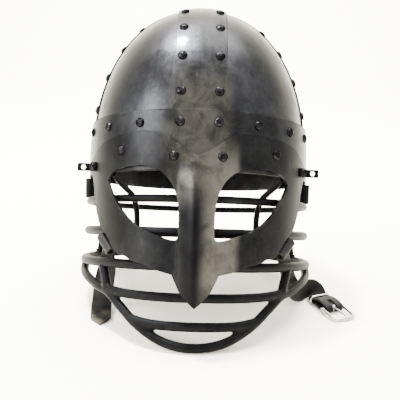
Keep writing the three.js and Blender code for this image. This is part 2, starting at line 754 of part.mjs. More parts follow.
// A flat ear with a hole, on a foot that lies on the visor
function earTab(side, right) {
  const foot = skullWall(VISOR_OUTER + FIT, TAB_FOOT_OUTER, TAB_Z - TAB_HEIGHT);
  const seat = onVisor(TAB_TURN, TAB_Z);
  const footHalf = RIVET_RADIUS + TAB_FOOT_MARGIN;
  const earY = seat.y + footHalf;
  const low = TAB_Z - TAB_HEIGHT / 2;
  const high = TAB_Z + TAB_HEIGHT / 2;
  const patch = foot.intersect(block([0, seat.y - footHalf, low], [FAR, earY + TAB_WALL, high]));
  const start = VISOR_HALF_WIDTH * Math.sqrt(1 - (earY / VISOR_HALF_DEPTH) ** 2);
  const end = start + TAB_REACH;
  const holeX = end - TAB_HOLE_SETBACK;
  const shape = new THREE.Shape();
  shape.moveTo(start + FIT + BAND_WALL, low);
  shape.lineTo(end - TAB_CORNER, low);
  shape.lineTo(end, low + TAB_CORNER);
  shape.lineTo(end, high - TAB_CORNER);
  shape.lineTo(end - TAB_CORNER, high);
  shape.lineTo(start + FIT + BAND_WALL, high);
  shape.closePath();
  const hole = new THREE.Path();
  hole.absarc(holeX, TAB_Z, TAB_HOLE_RADIUS, 0, 2 * Math.PI, true);
  shape.holes.push(hole);
  const options = { depth: TAB_WALL, bevelEnabled: false, curveSegments: 6 };
  const geometry = new THREE.ExtrudeGeometry(shape, options);
  geometry.rotateX(Math.PI / 2);
  geometry.translate(0, earY + TAB_WALL, 0);
  const ear = solid(geometry).add(patch);
  return piece(`ear_tab_${side}`, right > 0 ? ear : ear.mirror([1, 0, 0]), DARK_STEEL);
}

// A hollow round sleeve between two points
function sleeve(start, end, outer, bore, sides) {
  const length = start.distanceTo(end);
  const profile = [
    new THREE.Vector2(bore, 0),
    new THREE.Vector2(outer, 0),
    new THREE.Vector2(outer, length),
    new THREE.Vector2(bore, length),
  ];
  if (bore > 0) profile.push(new THREE.Vector2(bore, 0));
  const geometry = new THREE.LatheGeometry(profile, sides);
  const along = end.clone().sub(start).normalize();
  geometry.applyQuaternion(new THREE.Quaternion().setFromUnitVectors(new THREE.Vector3(0, 1, 0), along));
  geometry.translate(start.x, start.y, start.z);
  return solid(geometry);
}

function sideSleeve(side, right) {
  const bottomZ = EYE_RING_Z + THIN_BAR_RADIUS + FIT;
  const bottom = new THREE.Vector3(right * HOOP_HALF_WIDTH, SLEEVE_Y, bottomZ);
  const top = new THREE.Vector3(right * (HOOP_HALF_WIDTH + SLEEVE_SPLAY), SLEEVE_Y, RIM_Z - FIT);
  const shape = sleeve(bottom, top, SLEEVE_RADIUS, SLEEVE_BORE_RADIUS, SLEEVE_SIDES);
  return piece(`side_sleeve_${side}`, shape, BAR_STEEL);
}

// The roll's centre and direction, along the visor's lower corner, on the right side
function rollFrame() {
  const width = SKULL_HALF_WIDTH + VISOR_INNER;
  const centre = planPoint(ROLL_TURN, width, width * DEPTH_RATIO, ROLL_Z);
  const along = new THREE.Vector3(...ROLL_ALONG).normalize();
  return { centre, along };
}

// The roll's two end centres
function rollEnds(right, length) {
  const { centre, along } = rollFrame();
  const mirror = new THREE.Vector3(right, 1, 1);
  return [-0.5, 0.5].map((share) => centre.clone().addScaledVector(along, share * length).multiply(mirror));
}

function strapRoll(side, right) {
  const shape = sleeve(...rollEnds(right, ROLL_LENGTH), ROLL_RADIUS, ROLL_BORE_RADIUS, ROLL_SIDES);
  return piece(`strap_roll_${side}`, shape, LEATHER);
}

// A strap lofted through rows of a centre, the direction of its width, and its width there
function ribbon(rows) {
  const rings = rows.map((row, index) => {
    const before = rows[Math.max(0, index - 1)].centre;
    const after = rows[Math.min(rows.length - 1, index + 1)].centre;
    const along = after.clone().sub(before).normalize();
    const across = row.across.clone().addScaledVector(along, -row.across.dot(along)).normalize();
    const up = across.clone().cross(along).normalize();
    return [[-1, -1], [-1, 1], [1, 1], [1, -1]].map(([a, b]) => {
      const corner = row.centre.clone().addScaledVector(across, (a * row.width) / 2);
      return corner.addScaledVector(up, (b * STRAP_WALL) / 2);
    });
  });
  return loft(rings);
}

// The lean that stands the chin bar and the back of the lower hoop on one floor
const LEAN = Math.atan2(lowerRingZ(180) - CHIN_Z, LOWER_BACK + CHIN_FRONT);
const leanBack = new THREE.Matrix4().makeRotationX(-LEAN);
const chinLow = new THREE.Vector3(0, -CHIN_FRONT, CHIN_Z).applyMatrix4(leanBack);
const LIFT = BAR_RADIUS - chinLow.z;

// A level point as it stands on the floor
function standing(point) {
  const made = point.clone().applyMatrix4(leanBack);
  made.z += LIFT;
  return made;
}

// The strap's start, hanging from its roll
function rollUnderside(right) {
  const { centre } = rollFrame();
  const low = standing(centre.multiply(new THREE.Vector3(right, 1, 1)));
  return low.add(new THREE.Vector3(...ROLL_UNDERSIDE).multiplyScalar(ROLL_RADIUS));
}

// The room that the strap leaves round its roll, where the roll stands
function rollRoom(right) {
  const [start, end] = rollEnds(right, 2 * ROLL_LENGTH).map((point) => standing(point));
  return sleeve(start, end, ROLL_RADIUS + FIT + CUT_EXTRA, 0, ROLL_SIDES);
}

function routeRows(route) {
  return route.map((row) => {
    const [x, y, z] = row.at;
    return {
      centre: new THREE.Vector3(x * LOWER_HALF_WIDTH, y * CHIN_FRONT, Math.max(STRAP_LOW_Z, z * LIFT)),
      across: new THREE.Vector3(...row.across),
      width: (row.width ?? 1) * STRAP_WIDTH,
    };
  });
}

// The strap's first row, where it leaves its roll
function startRow(right) {
  const [x, y, z] = ROLL_START_ACROSS;
  const across = new THREE.Vector3(x, right * y, right * z);
  return { centre: rollUnderside(right), across, width: STRAP_WIDTH };
}

function leftStrap() {
  const strap = ribbon([startRow(-1), ...routeRows(LEFT_ROUTE)]);
  return piece("strap_left", strap.subtract(rollRoom(-1)), LEATHER);
}

// Buckle sizes that follow from the strap
const FOLD_RADIUS = BUCKLE_WIRE + FIT + STRAP_WALL / 2;
const STRAP_LOW_Z = FLOOR_GAP + STRAP_WALL / 2;
const BUCKLE_BAR_Z = STRAP_LOW_Z + FOLD_RADIUS;
const BUCKLE_HALF_WIDTH = STRAP_WIDTH / 2 + 2 * FIT + BUCKLE_WIRE;
const KEPT_LOW_Z = FLOOR_GAP + 2 * KEEPER_WIRE + FIT + STRAP_WALL / 2;
const KEPT_HIGH_Z = KEPT_LOW_Z + STRAP_WALL + FIT;
const BUCKLE_PITCH = Math.asin((BUCKLE_BAR_Z - BUCKLE_WIRE - FLOOR_GAP) / BUCKLE_LENGTH);

// A point by its distance ahead of the buckle's bar and its height
function aheadOfBar(ahead, z) {
  const heading = radians(BUCKLE_HEADING);
  const x = LOWER_HALF_WIDTH + BUCKLE_OUT + ahead * Math.cos(heading);
  return new THREE.Vector3(x, ahead * Math.sin(heading) - BUCKLE_FORWARD, z);
}

function rightStrap() {
  const heading = radians(BUCKLE_HEADING);
  const across = new THREE.Vector3(-Math.sin(heading), Math.cos(heading), 0);
  const flat = (ahead, z) => ({ centre: aheadOfBar(ahead, z), across, width: STRAP_WIDTH });
  const rows = [startRow(1), ...routeRows(RIGHT_ROUTE)];
  rows.push(flat(-KEEPER_BACK - FOLD_PAST_KEEPER, KEPT_LOW_Z), flat(-KEEPER_BACK, KEPT_LOW_Z));
  rows.push(flat(-KEEPER_BACK / 2, (KEPT_LOW_Z + STRAP_LOW_Z) / 2));
  for (let step = 0; step <= FOLD_STEPS; step += 1) {
    const angle = (step / FOLD_STEPS - 0.5) * Math.PI;
    rows.push(flat(FOLD_RADIUS * Math.cos(angle), BUCKLE_BAR_Z + FOLD_RADIUS * Math.sin(angle)));
  }
  rows.push(flat(-KEEPER_BACK / 2, (KEPT_HIGH_Z + BUCKLE_BAR_Z + FOLD_RADIUS) / 2));
  rows.push(flat(-KEEPER_BACK, KEPT_HIGH_Z), flat(-KEEPER_BACK - FOLD_PAST_KEEPER, KEPT_HIGH_Z));
  const strap = ribbon(rows).subtract(rollRoom(1));
  const slotHalf = PRONG_COLLAR_WIDTH / 2 + 2 * FIT;
  const slotReach = FOLD_RADIUS + STRAP_WALL;
  const slot = block([-slotHalf, -slotReach, -slotReach], [slotHalf, slotReach, slotReach]);
  return piece("strap_right", strap.subtract(slot.transform(buckleMatrix(0).elements)), LEATHER);
}

// The buckle's own frame: its bar along X, its far end along +Y, tipped down by a pitch
function buckleMatrix(pitch) {
  const turn = new THREE.Matrix4().makeRotationZ(radians(BUCKLE_HEADING - 90));
  const tip = new THREE.Matrix4().makeRotationX(-pitch);
  const place = new THREE.Matrix4().makeTranslation(aheadOfBar(0, BUCKLE_BAR_Z));
  return place.multiply(turn).multiply(tip);
}

function buckleFrame() {
  const half = BUCKLE_HALF_WIDTH;
  const far = BUCKLE_LENGTH;
  const corner = BUCKLE_CORNER;
  const side = far - corner;
  const end = half - corner;
  const corners = [-1, 1].map((right) => {
    return [flatPoint(right * half, side), flatPoint(right * half, far), flatPoint(right * end, far)];
  });
  const path = new THREE.CurvePath();
  path.add(new THREE.LineCurve3(flatPoint(-half, 0), flatPoint(-half, side)));
  path.add(new THREE.QuadraticBezierCurve3(...corners[0]));
  path.add(new THREE.LineCurve3(flatPoint(-end, far), flatPoint(end, far)));
  path.add(new THREE.QuadraticBezierCurve3(...corners[1].reverse()));
  path.add(new THREE.LineCurve3(flatPoint(half, side), flatPoint(half, 0)));
  const reach = half + BUCKLE_WIRE * BAR_PAST_FRAME;
  const pivot = new THREE.LineCurve3(flatPoint(-reach, 0), flatPoint(reach, 0));
  return piece("buckle_frame", bar(path, BUCKLE_WIRE, 18).add(bar(pivot, BUCKLE_WIRE, 1)), NICKEL);
}

// A point in the buckle's own plane
function flatPoint(x, y) {
  return new THREE.Vector3(x, y, 0);
}

function buckleProng() {
  const bore = BUCKLE_WIRE + FIT;
  const outer = bore + PRONG_COLLAR_WALL;
  const ends = [-0.5, 0.5].map((share) => new THREE.Vector3(share * PRONG_COLLAR_WIDTH, 0, 0));
  const collar = sleeve(ends[0], ends[1], outer, bore, SLEEVE_SIDES);
  const root = new THREE.Vector3(0, bore + PRONG_COLLAR_WALL / 2, PRONG_RADIUS * PRONG_ROOT_RISE);
  const tipZ = BUCKLE_WIRE + FIT + PRONG_RADIUS;
  const tip = new THREE.Vector3(0, BUCKLE_LENGTH + PRONG_PAST_END, tipZ);
  const rod = bar(new THREE.LineCurve3(root, tip), PRONG_RADIUS, 1);
  const inside = sleeve(ends[0], ends[1], bore, 0, SLEEVE_SIDES);
  return piece("buckle_prong", collar.add(rod.subtract(inside)), NICKEL);
}

// The wire loop round both layers of the folded strap
function keeperRing() {
  const half = STRAP_WIDTH / 2 + FIT + KEEPER_WIRE;
  const low = KEPT_LOW_Z - STRAP_WALL / 2 - FIT - KEEPER_WIRE - BUCKLE_BAR_Z;
  const high = KEPT_HIGH_Z + STRAP_WALL / 2 + FIT + KEEPER_WIRE - BUCKLE_BAR_Z;
  const reach = KEEPER_WIRE * KEEPER_LAP;
  const corner = (x, z) => new THREE.Vector3(x, -KEEPER_BACK, z);
  const sides = [
    [corner(-half - reach, low), corner(half + reach, low)],
    [corner(-half - reach, high), corner(half + reach, high)],
    [corner(-half, low - reach), corner(-half, high + reach)],
    [corner(half, low - reach), corner(half, high + reach)],
  ];
  const wires = sides.map((ends) => bar(new THREE.LineCurve3(...ends), KEEPER_WIRE, 1));
  return piece("keeper_ring", joined(wires), NICKEL);
}

const helmet = new THREE.Group();
helmet.add(...skullPlates(), crestBand(), browBand(), visor(), ...frontRivets());
helmet.add(...hoops(), chinGuard(), ...rearPosts());
for (const [side, right] of [["left", -1], ["right", 1]]) {
  helmet.add(sideBand(side, right), neckBar(side, right), earTab(side, right));
  helmet.add(sideSleeve(side, right), strapRoll(side, right));
}
helmet.rotation.x = -LEAN;
helmet.position.z = LIFT;

const buckle = new THREE.Group();
buckle.add(buckleFrame(), buckleProng());
buckle.applyMatrix4(buckleMatrix(BUCKLE_PITCH));
const keeper = new THREE.Group();
keeper.add(keeperRing());
keeper.applyMatrix4(buckleMatrix(0));

// The whole part, centred over the origin and standing on z = 0
const whole = new THREE.Group();
whole.add(helmet, leftStrap(), rightStrap(), buckle, keeper);
const bounds = new THREE.Box3().setFromObject(whole, true);
whole.position.set(-(bounds.min.x + bounds.max.x) / 2, -(bounds.min.y + bounds.max.y) / 2, -bounds.min.z);

const part = new THREE.Group();
part.add(whole);

export default part;
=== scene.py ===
"""A norse iron helmet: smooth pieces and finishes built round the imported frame."""

import math

import bpy
import numpy as np
from mathutils import Matrix, Vector, geometry


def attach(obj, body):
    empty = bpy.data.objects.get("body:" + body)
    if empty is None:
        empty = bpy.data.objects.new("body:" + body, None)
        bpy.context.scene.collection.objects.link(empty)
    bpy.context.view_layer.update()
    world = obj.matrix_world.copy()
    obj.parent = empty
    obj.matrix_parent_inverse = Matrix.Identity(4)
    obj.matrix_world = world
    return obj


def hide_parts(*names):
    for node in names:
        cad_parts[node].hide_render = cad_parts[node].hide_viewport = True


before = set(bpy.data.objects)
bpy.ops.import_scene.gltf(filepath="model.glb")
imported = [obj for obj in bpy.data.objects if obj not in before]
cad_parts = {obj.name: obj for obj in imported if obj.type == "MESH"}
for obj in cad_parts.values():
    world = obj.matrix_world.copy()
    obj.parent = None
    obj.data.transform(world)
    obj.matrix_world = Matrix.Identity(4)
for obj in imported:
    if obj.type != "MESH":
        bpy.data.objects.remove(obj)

bl_info = {
    "name": "Norse Iron Helmet",
    "version": (1, 0, 0),
    "blender": (4, 5, 0),
    "location": "View3D > Sidebar > Helmet",
    "description": "Builds the helmet's pieces and finishes round its packed frame",
    "category": "Add Mesh",
}

MM = 0.001
SIDES = (("left", -1), ("right", 1))

# The level helmet's place on the floor, in millimetres, and its lean
HELMET_ORIGIN = np.array((-18.388, -1.046, 56.013))
LEAN = math.atan2(71.5, 225.0)
FLOOR_LIFT = 0.014
FLOOR_ORIGIN = np.array((HELMET_ORIGIN[0], HELMET_ORIGIN[1], -FLOOR_LIFT))

# Gaps and sizes of the source, in millimetres
FIT = 0.3
SKULL_HALF_WIDTH = 99.0
SKULL_HALF_DEPTH = 116.5
DEPTH_RATIO = SKULL_HALF_DEPTH / SKULL_HALF_WIDTH
SKULL_WIDEST_Z = 70.0
CROWN_RISE = 140.5
CROWN_POWER = 2.2
RIM_Z = 49.0
PLATE_WALL = 1.6
PLATE_SEAM_TURN = 0.07
CROWN_TIP_RADIUS = 0.4
BAND_INNER = FIT
BAND_OUTER = 1.9
BROW_INNER = 2.2
BROW_OUTER = 3.8
VISOR_INNER = 4.1
VISOR_OUTER = 6.5
TAB_OUTER = 8.4
CREST_HALF = 21.5
SIDE_HALF = 20.0
BROW_TOP_Z = 98.0
CROWN_Z = SKULL_WIDEST_Z + CROWN_RISE
CREST_RIVET_ASIDE = 15.5
SIDE_RIVET_ASIDE = 15.0
BROW_RIVET_SHARE = 0.24

VISOR_TURN = 80.0
VISOR_SPACING = 2.4
OUTLINE_STEPS = 4
OUTLINE_CORNER = 50
NASAL_HALF = 16.0
NASAL_TOP_Z = 66.0
RIDGE_REACH = 9.0
RIDGE_SOFTNESS = 0.3
TAB_TURN = 59.0
TAB_Z = 55.0
TAB_HALF_HEIGHT = 3.5
TAB_REACH = 13.0
TAB_WALL = 2.0
TAB_CORNER = 1.0
TAB_HOLE_RADIUS = 2.1
TAB_HOLE_SETBACK = 5.2
TAB_STANDOFF = 5.0
TAB_TUCK = 0.6
TAB_LAP = 1.6
TAB_SPACING = 1.2
EYE_SILL_Z = -6.2
EYE_HEIGHT = 58.8
EYE_INNER_TURN = 7.7
EYE_OUTER_TURN = 45.5

BAR_RADIUS = 4.0
THIN_BAR_RADIUS = 3.2
POST_RADIUS = 3.04
HOOP_HALF_WIDTH = 101.5
HOOP_FRONT = 110.5
HOOP_BACK = 117.0
EYE_RING_Z = 27.0
LOWER_HALF_WIDTH = 104.0
LOWER_BACK = 112.0
LOWER_RING_Z = -27.0
LOWER_RING_LIFT = 8.0
CHIN_FRONT = 113.0
CHIN_Z = -90.5
REAR_POST_TURN = 110.0
BAR_SIDES = 20
CHIN_SIDES = 16
CROSS_BAR_Z = -51.5
LOW_CROSS_BAR_Z = -74.0
LOW_CROSS_END_Z = -71.0
CHEEK_POST_LEAN = 5.0
WEB_RADIUS = BAR_RADIUS * 0.72
BEAD_OFF_BAR = 0.2
BEAD_OFF_POST = 0.4
BEAD_LUMPS = 7
BEAD_LUMP = 0.22
BEAD_RAGGED = 0.1
SLEEVE_Y = -10.0
SLEEVE_INNER = 2.7
SLEEVE_OUTER = 4.5
SLEEVE_WRAP = 0.975
SLEEVE_SEAM = 0.9
SLEEVE_FLARE = 0.5

STRAP_WALL = 2.2
STRAP_WIDTH = 18.0
STRAP_LOW_Z = 1.3
SLOT_SHARE = 0.233
SLOT_REACH = 8.5
ROLL_LENGTH = 20.0
ROLL_TURN = 46.6
ROLL_Z = -11.5
ROLL_INNER = 2.3
ROLL_OUTER = 4.5
ROLL_WRAP = 2.0
ROLL_SEAM = 1.2
ROLL_FILL = 0.86
ROLL_TO_STRAP = 1.25
ROLL_ALONG = np.array((0.51, 0.58, 0.63))
ROLL_UNDERSIDE = np.array((0.0, 0.85, -0.53))
ROLL_START_ACROSS = (0.51, 0.74, 0.43)
BUCKLE_BAR = np.array((126.5, -49.0, 4.2))
BUCKLE_HEADING = math.radians(-65)
KEPT_LOW_Z = 3.4
KEPT_HIGH_Z = 5.9
KEEPER_BACK = 20.0
FOLD_RADIUS = 2.9
FOLD_CREST_Z = 8.6
FRAME_HALF_WIDTH = 11.1
FRAME_LENGTH = 20.0
FRAME_CORNER = 6.0
FRAME_BOW = 0.4
FRAME_END_Z = 1.7
BAR_OVERHANG = 1.2
COLLAR_RADIUS = 2.3
COLLAR_WIRE = 0.5
COLLAR_PITCH = 0.95
KEEPER_LOW_Z = 1.1
KEEPER_HIGH_Z = 8.2
KEEPER_HALF_WIDTH = 10.2
KEEPER_SQUARENESS = 0.45

# Turn as a share of VISOR_TURN and height in millimetres, from the brow round to the nose tip
VISOR_EDGE = [
    (0, 60), (0.075, 66), (0.175, 76.4), (0.26, 80), (0.41, 79.8), (0.575, 75.5), (0.65, 72),
    (0.706, 67.2), (0.76, 62), (0.785, 58.8), (0.79, 50), (0.755, 46), (0.725, 36), (0.71, 27.2),
    (0.68, 16), (0.63, 4), (0.55, -5.6), (0.48, -17.5), (0.41, -20.1), (0.3675, -23.1),
    (0.27, -26.4), (0.21, -29.9), (0.125, -33), (0.115, -36.5), (0.08, -46.4), (0.04, -52.8),
    (0, -58),
]
# Shares of the way from the eye's inner to its outer turn, and of its height
EYE_EDGE = [
    (0, 0.24), (0.008, 0.445), (0.035, 0.6), (0.095, 0.76), (0.17, 0.86), (0.265, 0.94),
    (0.38, 0.985), (0.56, 1), (0.75, 0.98), (0.91, 0.92), (1, 0.82), (0.91, 0.64), (0.775, 0.445),
    (0.625, 0.275), (0.46, 0.15), (0.29, 0.075), (0.115, 0.01), (0.035, 0), (0.003, 0.045),
]
# Height in millimetres, and the share of RIDGE_REACH that the fold stands out there
NASAL_RIDGE = [(-59.2, 0.75), (-34.8, 1), (8, 1), (36, 0.85), (52.8, 0.35), (62.4, 0.05)]
# Rivets: shares of the way up from the rim, turns in degrees from the front, or turn and height
CREST_RIVETS = [0.24, 0.4, 0.595, 0.775, 0.91]
SIDE_RIVETS = [0.4, 0.595, 0.76, 0.88]
BROW_FRONT_TURNS = [28, 49, 68]
BROW_BACK_TURNS = [98, 132, 172, 188, 228, 262]
VISOR_RIVETS = [(10.5, 60), (37, 65.5)]
# Radius and height of the rings of a rivet head, in millimetres
RIVET_RINGS = [(4.0, -0.9), (4.02, 0.1), (3.86, 0.72), (3.4, 1.35), (2.6, 1.88), (1.5, 2.16), (0.5, 2.22)]
# Turn from the front, and share of the way down from the lower ring to the chin
CHIN_LOOP = [
    (91.5, 0), (89, 0.055), (84, 0.11), (76, 0.18), (65, 0.24), (53, 0.325), (44, 0.385),
    (36.6, 0.525), (26.7, 0.74), (16.5, 0.905), (8, 0.98), (0, 1),
]
# Turn from the front, and height as a share of the rim's
NECK_BAR = [
    (112, 1.2), (118, 1.06), (126, 0.92), (132, 0.78), (134.5, 0.61), (136, 0.41), (136.5, 0.16),
    (136.5, -0.12),
]
# Strap routes over the floor: a point in millimetres, the way of the strap's width, and its width
LEFT_ROUTE = [
    ((-74.2, -70.6, 61.5), (0.55, -0.72, -0.43), 18), ((-74.8, -67.2, 53), (0.68, -0.62, -0.4), 18),
    ((-76.5, -64.5, 43.5), (0.82, -0.48, -0.32), 18), ((-79, -61.5, 32), (0.93, -0.3, -0.2), 18),
    ((-81, -58, 20), (0.98, -0.15, -0.1), 18), ((-82.4, -55.5, 9.5), (1, -0.05, 0), 18),
    ((-83, -58, 3.6), (1, -0.03, 0), 18), ((-82.5, -64, 1.7), (1, 0, 0), 18),
    ((-81.5, -72, 1.3), (1, 0.05, 0), 18), ((-80.2, -81, 1.3), (1, 0.08, 0), 16),
    ((-79.3, -91, 1.3), (1, 0.08, 0), 2),
]
RIGHT_ROUTE = [
    ((75, -71, 62), (0.51, 0.74, 0.43), 18), ((77, -68.5, 53.5), (0.5, 0.72, 0.48), 18),
    ((80.5, -64, 43), (0.48, 0.68, 0.55), 18), ((85, -57, 31), (0.45, 0.62, 0.64), 18),
    ((90.5, -46.5, 20), (0.42, 0.6, 0.68), 18), ((96.5, -36.5, 13), (0.38, 0.54, 0.74), 18),
    ((102, -27.5, 10.2), (0.25, 0.36, 0.9), 18), ((107, -20, 10), (0.08, 0.14, 0.98), 18),
    ((111.5, -17, 9.6), (0.2, 0.1, 0.97), 18), ((115, -19, 7.6), (0.6, 0.3, 0.74), 18),
    ((116.6, -23.6, 4.6), (0.88, 0.38, 0.2), 18),
]
# Webs of weld in the chin guard's sharp corners: the corner's row of CHIN_LOOP, the height where a web
# starts on its cross bar, how far in it lies, how far its two ends reach, and how far its loop end drops
CORNER_WEBS = [(6, -52.5, 2, 3.2, 1.2, 3.5), (8, -73.6, 1.5, 4.5, 2.4, 3.6)]
# The prong's middle line and radii, in millimetres ahead of the buckle's bar
PRONG_LINE = [(0, 2.3, 0.7), (0, 6, 1.3), (0, 11, 1.9), (0, 16, 2.4), (0, 19.5, 2.75), (0, 21.5, 2.7)]
PRONG_RADII = (1.1, 0.95, 0.45)


def colour(name, description, default):
    """A colour that the user can change."""
    return bpy.props.FloatVectorProperty(
        name=name, description=description, subtype="COLOR", size=3, min=0, max=1, default=default)


class HelmetColours(bpy.types.PropertyGroup):
    """Colours of the finishes"""

    plate_dark: colour("Plate dark", "Darkest tone of the skull plates", (0.0095, 0.0095, 0.0102))
    plate_light: colour("Plate light", "Lightest tone of the skull plates", (0.027, 0.027, 0.0285))
    band_dark: colour("Band dark", "Darkest tone of the bands", (0.005, 0.005, 0.0053))
    band_light: colour("Band light", "Lightest tone of the bands", (0.019, 0.019, 0.0195))
    visor_dark: colour("Visor dark", "Darkest tone of the visor", (0.004, 0.004, 0.0042))
    visor_light: colour("Visor light", "Lightest tone of the visor", (0.012, 0.012, 0.012))
    tab_dark: colour("Tab dark", "Darkest tone of the ear tabs", (0.002, 0.002, 0.002))
    tab_light: colour("Tab light", "Lightest tone of the ear tabs", (0.006, 0.006, 0.006))
    # Warm steel: a warm brown tint on the front's middle, brightened there into a painted warm sheen
    warm_tint_and_sheen_steel: colour("Warm steel", "Tone of the front's middle", (0.05, 0.0465, 0.037))
    worn_steel: colour("Worn steel", "Tone of scratches and rubbed edges", (0.08, 0.078, 0.076))
    # Bright steel: painted highlight on the nasal's lit side and on the visor beside it
    nasal_highlight_steel: colour("Bright steel", "Tone of the nasal's bright side", (0.078, 0.073, 0.06))
    # Shaded steel: painted shade on the rims and on the nasal's unlit side
    painted_shade_steel: colour("Shaded steel", "Tone of edges and the nasal's dark side", (0.003, 0.003, 0.0032))
    bar_dark: colour("Bar dark", "Darkest tone of the bars", (0.0009, 0.0009, 0.0011))
    bar_light: colour("Bar light", "Lightest tone of the bars", (0.003, 0.003, 0.0032))
    bar_rubbed: colour("Bar rubbed", "Tone where a bar's coating is rubbed", (0.012, 0.012, 0.0125))
    rivet_dark: colour("Rivet dark", "Darkest tone of the rivets", (0.002, 0.0019, 0.0021))
    rivet_light: colour("Rivet light", "Lightest tone of the rivets", (0.014, 0.013, 0.014))
    # Polished steel: a painted bluish highlight tint on the dome's glossy patch, where the lamp's highlight
    # falls
    polished_highlight_steel: colour("Polished steel", "Tone of the dome's glossy patch", (0.034, 0.035, 0.04))
    steel_rim: colour("Steel rim", "Tint of steel seen edge on", (0.62, 0.62, 0.62))
    dull_rim: colour("Dull rim", "Tint of rivets seen edge on", (0.32, 0.32, 0.32))
    leather_dark: colour("Leather dark", "Darkest tone of the leather", (0.0018, 0.0017, 0.0017))
    leather_light: colour("Leather light", "Lightest tone of the leather", (0.005, 0.0047, 0.0045))
    leather_rubbed: colour("Leather rubbed", "Tone of the leather's edges", (0.022, 0.019, 0.015))
    leather_bare: colour("Leather bare", "Tone of the worn strap tip", (0.05, 0.044, 0.031))
    nickel_bright: colour("Nickel bright", "Brightest tone of the plating", (0.42, 0.42, 0.4))
    nickel_dull: colour("Nickel dull", "Dullest tone of the plating", (0.2, 0.195, 0.185))


class HelmetSizes(bpy.types.PropertyGroup):
    """Sizes of the smooth pieces that the source leaves open"""

    edge_round: bpy.props.FloatProperty(
        name="Edge rounding", description="Rounding of the edges of bands and visor",
        default=0.0002, min=0, unit="LENGTH", precision=5)
    bead_radius: bpy.props.FloatProperty(
        name="Bead radius", description="Mean radius of the weld beads",
        default=0.00115, min=0, unit="LENGTH", precision=5)
    melt_step: bpy.props.FloatProperty(
        name="Melt step", description="Fineness of the chin guard's melted mesh",
        default=0.001, min=0.0005, unit="LENGTH", precision=5)
    melt_rounds: bpy.props.IntProperty(
        name="Melt rounds", description="How often the chin guard's joints are softened",
        default=12, min=0)
    frame_wire: bpy.props.FloatProperty(
        name="Frame wire", description="Radius of the buckle frame's wire",
        default=0.0015, min=0.0005, unit="LENGTH", precision=5)
    keeper_wire: bpy.props.FloatProperty(
        name="Keeper wire", description="Radius of the keeper's wire",
        default=0.00105, min=0.0005, unit="LENGTH", precision=5)


def colours():
    """The colours in use."""
    return bpy.context.scene.helmet_colours


def sizes():
    """The open sizes in use."""
    return bpy.context.scene.helmet_sizes


def edge_round():
    """The rounding of plate edges, in millimetres."""
    return sizes().edge_round / MM


def name_seed(name):
    """A seed that stays the same each run, from a piece's name."""
    return sum(map(ord, name))


# ---- places ----
def lean(points):
    """Points of the level helmet turned back by its lean."""
    p = np.asarray(points, float)
    c, s = math.cos(LEAN), math.sin(LEAN)
    return np.stack([p[..., 0], p[..., 1] * c + p[..., 2] * s, p[..., 2] * c - p[..., 1] * s], -1)


def from_level(points):
    """Points of the level helmet, in millimetres, where the standing helmet has them, in metres."""
    return (lean(points) + HELMET_ORIGIN) * MM


def from_floor(points):
    """Points over the floor, in millimetres about the helmet's middle, in metres."""
    return (np.asarray(points, float) + FLOOR_ORIGIN) * MM


def crown_share(z, outset):
    """The skull's width at a height, as a share of its widest."""
    up = np.maximum(0, np.asarray(z, float) - SKULL_WIDEST_Z) / (CROWN_RISE + outset)
    return np.maximum(0, 1 - up**CROWN_POWER) ** (1 / CROWN_POWER)


def on_plan(turn, half_width, half_depth, z):
    """The point of an oval at a turn in degrees from the front, at a height."""
    a = np.radians(turn)
    x = half_width * np.sin(a)
    y = -half_depth * np.cos(a)
    return np.stack(np.broadcast_arrays(x, y, np.asarray(z, float)), -1)


def on_skull(turn, z, outset):
    """The point of the skull, or of a surface outset from it, at a turn and height."""
    width = (SKULL_HALF_WIDTH + outset) * crown_share(z, outset)
    return on_plan(turn, width, width * DEPTH_RATIO, z)


def over_crown(angle, aside, outset, along_x):
    """The skull's point at an angle up from the rim, kept a distance aside of the middle plane."""
    angle, aside = np.broadcast_arrays(np.asarray(angle, float), np.asarray(aside, float))
    width = SKULL_HALF_WIDTH + outset
    depth = width * DEPTH_RATIO
    own, other = (width, depth) if along_x else (depth, width)
    low, high = np.zeros(angle.shape), np.full(angle.shape, 400.0)
    for _ in range(50):
        middle = (low + high) / 2
        flat = np.hypot(middle * np.cos(angle) / own, aside / other)
        up = np.maximum(0, middle * np.sin(angle)) / (CROWN_RISE + outset)
        outside = flat**CROWN_POWER + up**CROWN_POWER > 1
        high = np.where(outside, middle, high)
        low = np.where(outside, low, middle)
    reach, z = low * np.cos(angle), SKULL_WIDEST_Z + low * np.sin(angle)
    return np.stack([reach, aside, z] if along_x else [aside, -reach, z], -1)


def skull_normal(point):
    """The way straight out of the skull at a point."""
    x, y, z = point
    q = math.hypot(x / SKULL_HALF_WIDTH, y / SKULL_HALF_DEPTH) ** (CROWN_POWER - 2)
    up = max(0.0, z - SKULL_WIDEST_Z) / CROWN_RISE
    rise = up ** (CROWN_POWER - 1) / CROWN_RISE
    n = np.array((q * x / SKULL_HALF_WIDTH**2, q * y / SKULL_HALF_DEPTH**2, rise))
    return n / np.linalg.norm(n)


def smooth_line(points, steps, closed=False):
    """A Catmull-Rom curve through points, as a denser line."""
    p = np.asarray(points, float)
    count = len(p)
    before = p[-1:] if closed else [2 * p[0] - p[1]]
    after = p[:2] if closed else [2 * p[-1] - p[-2]]
    padded = np.concatenate([before, p, after])
    line = []
    for i in range(count if closed else count - 1):
        a, b, c, d = padded[i:i + 4]
        for t in np.arange(steps) / steps:
            curve = 2 * b + (c - a) * t + (2 * a - 5 * b + 4 * c - d) * t**2
            line.append(0.5 * (curve + (3 * b - a - 3 * c + d) * t**3))
    if not closed:
        line.append(p[-1])
    return np.array(line)


def full_turn(count):
    """Angles that go once round in equal steps."""
    return np.arange(count) / count * 2 * math.pi


def square_to(way, hint):
    """Two directions square to a way and to each other, the first square to a hint too."""
    side = np.cross(way, hint)
    side /= np.linalg.norm(side)
    return side, np.cross(way, side)


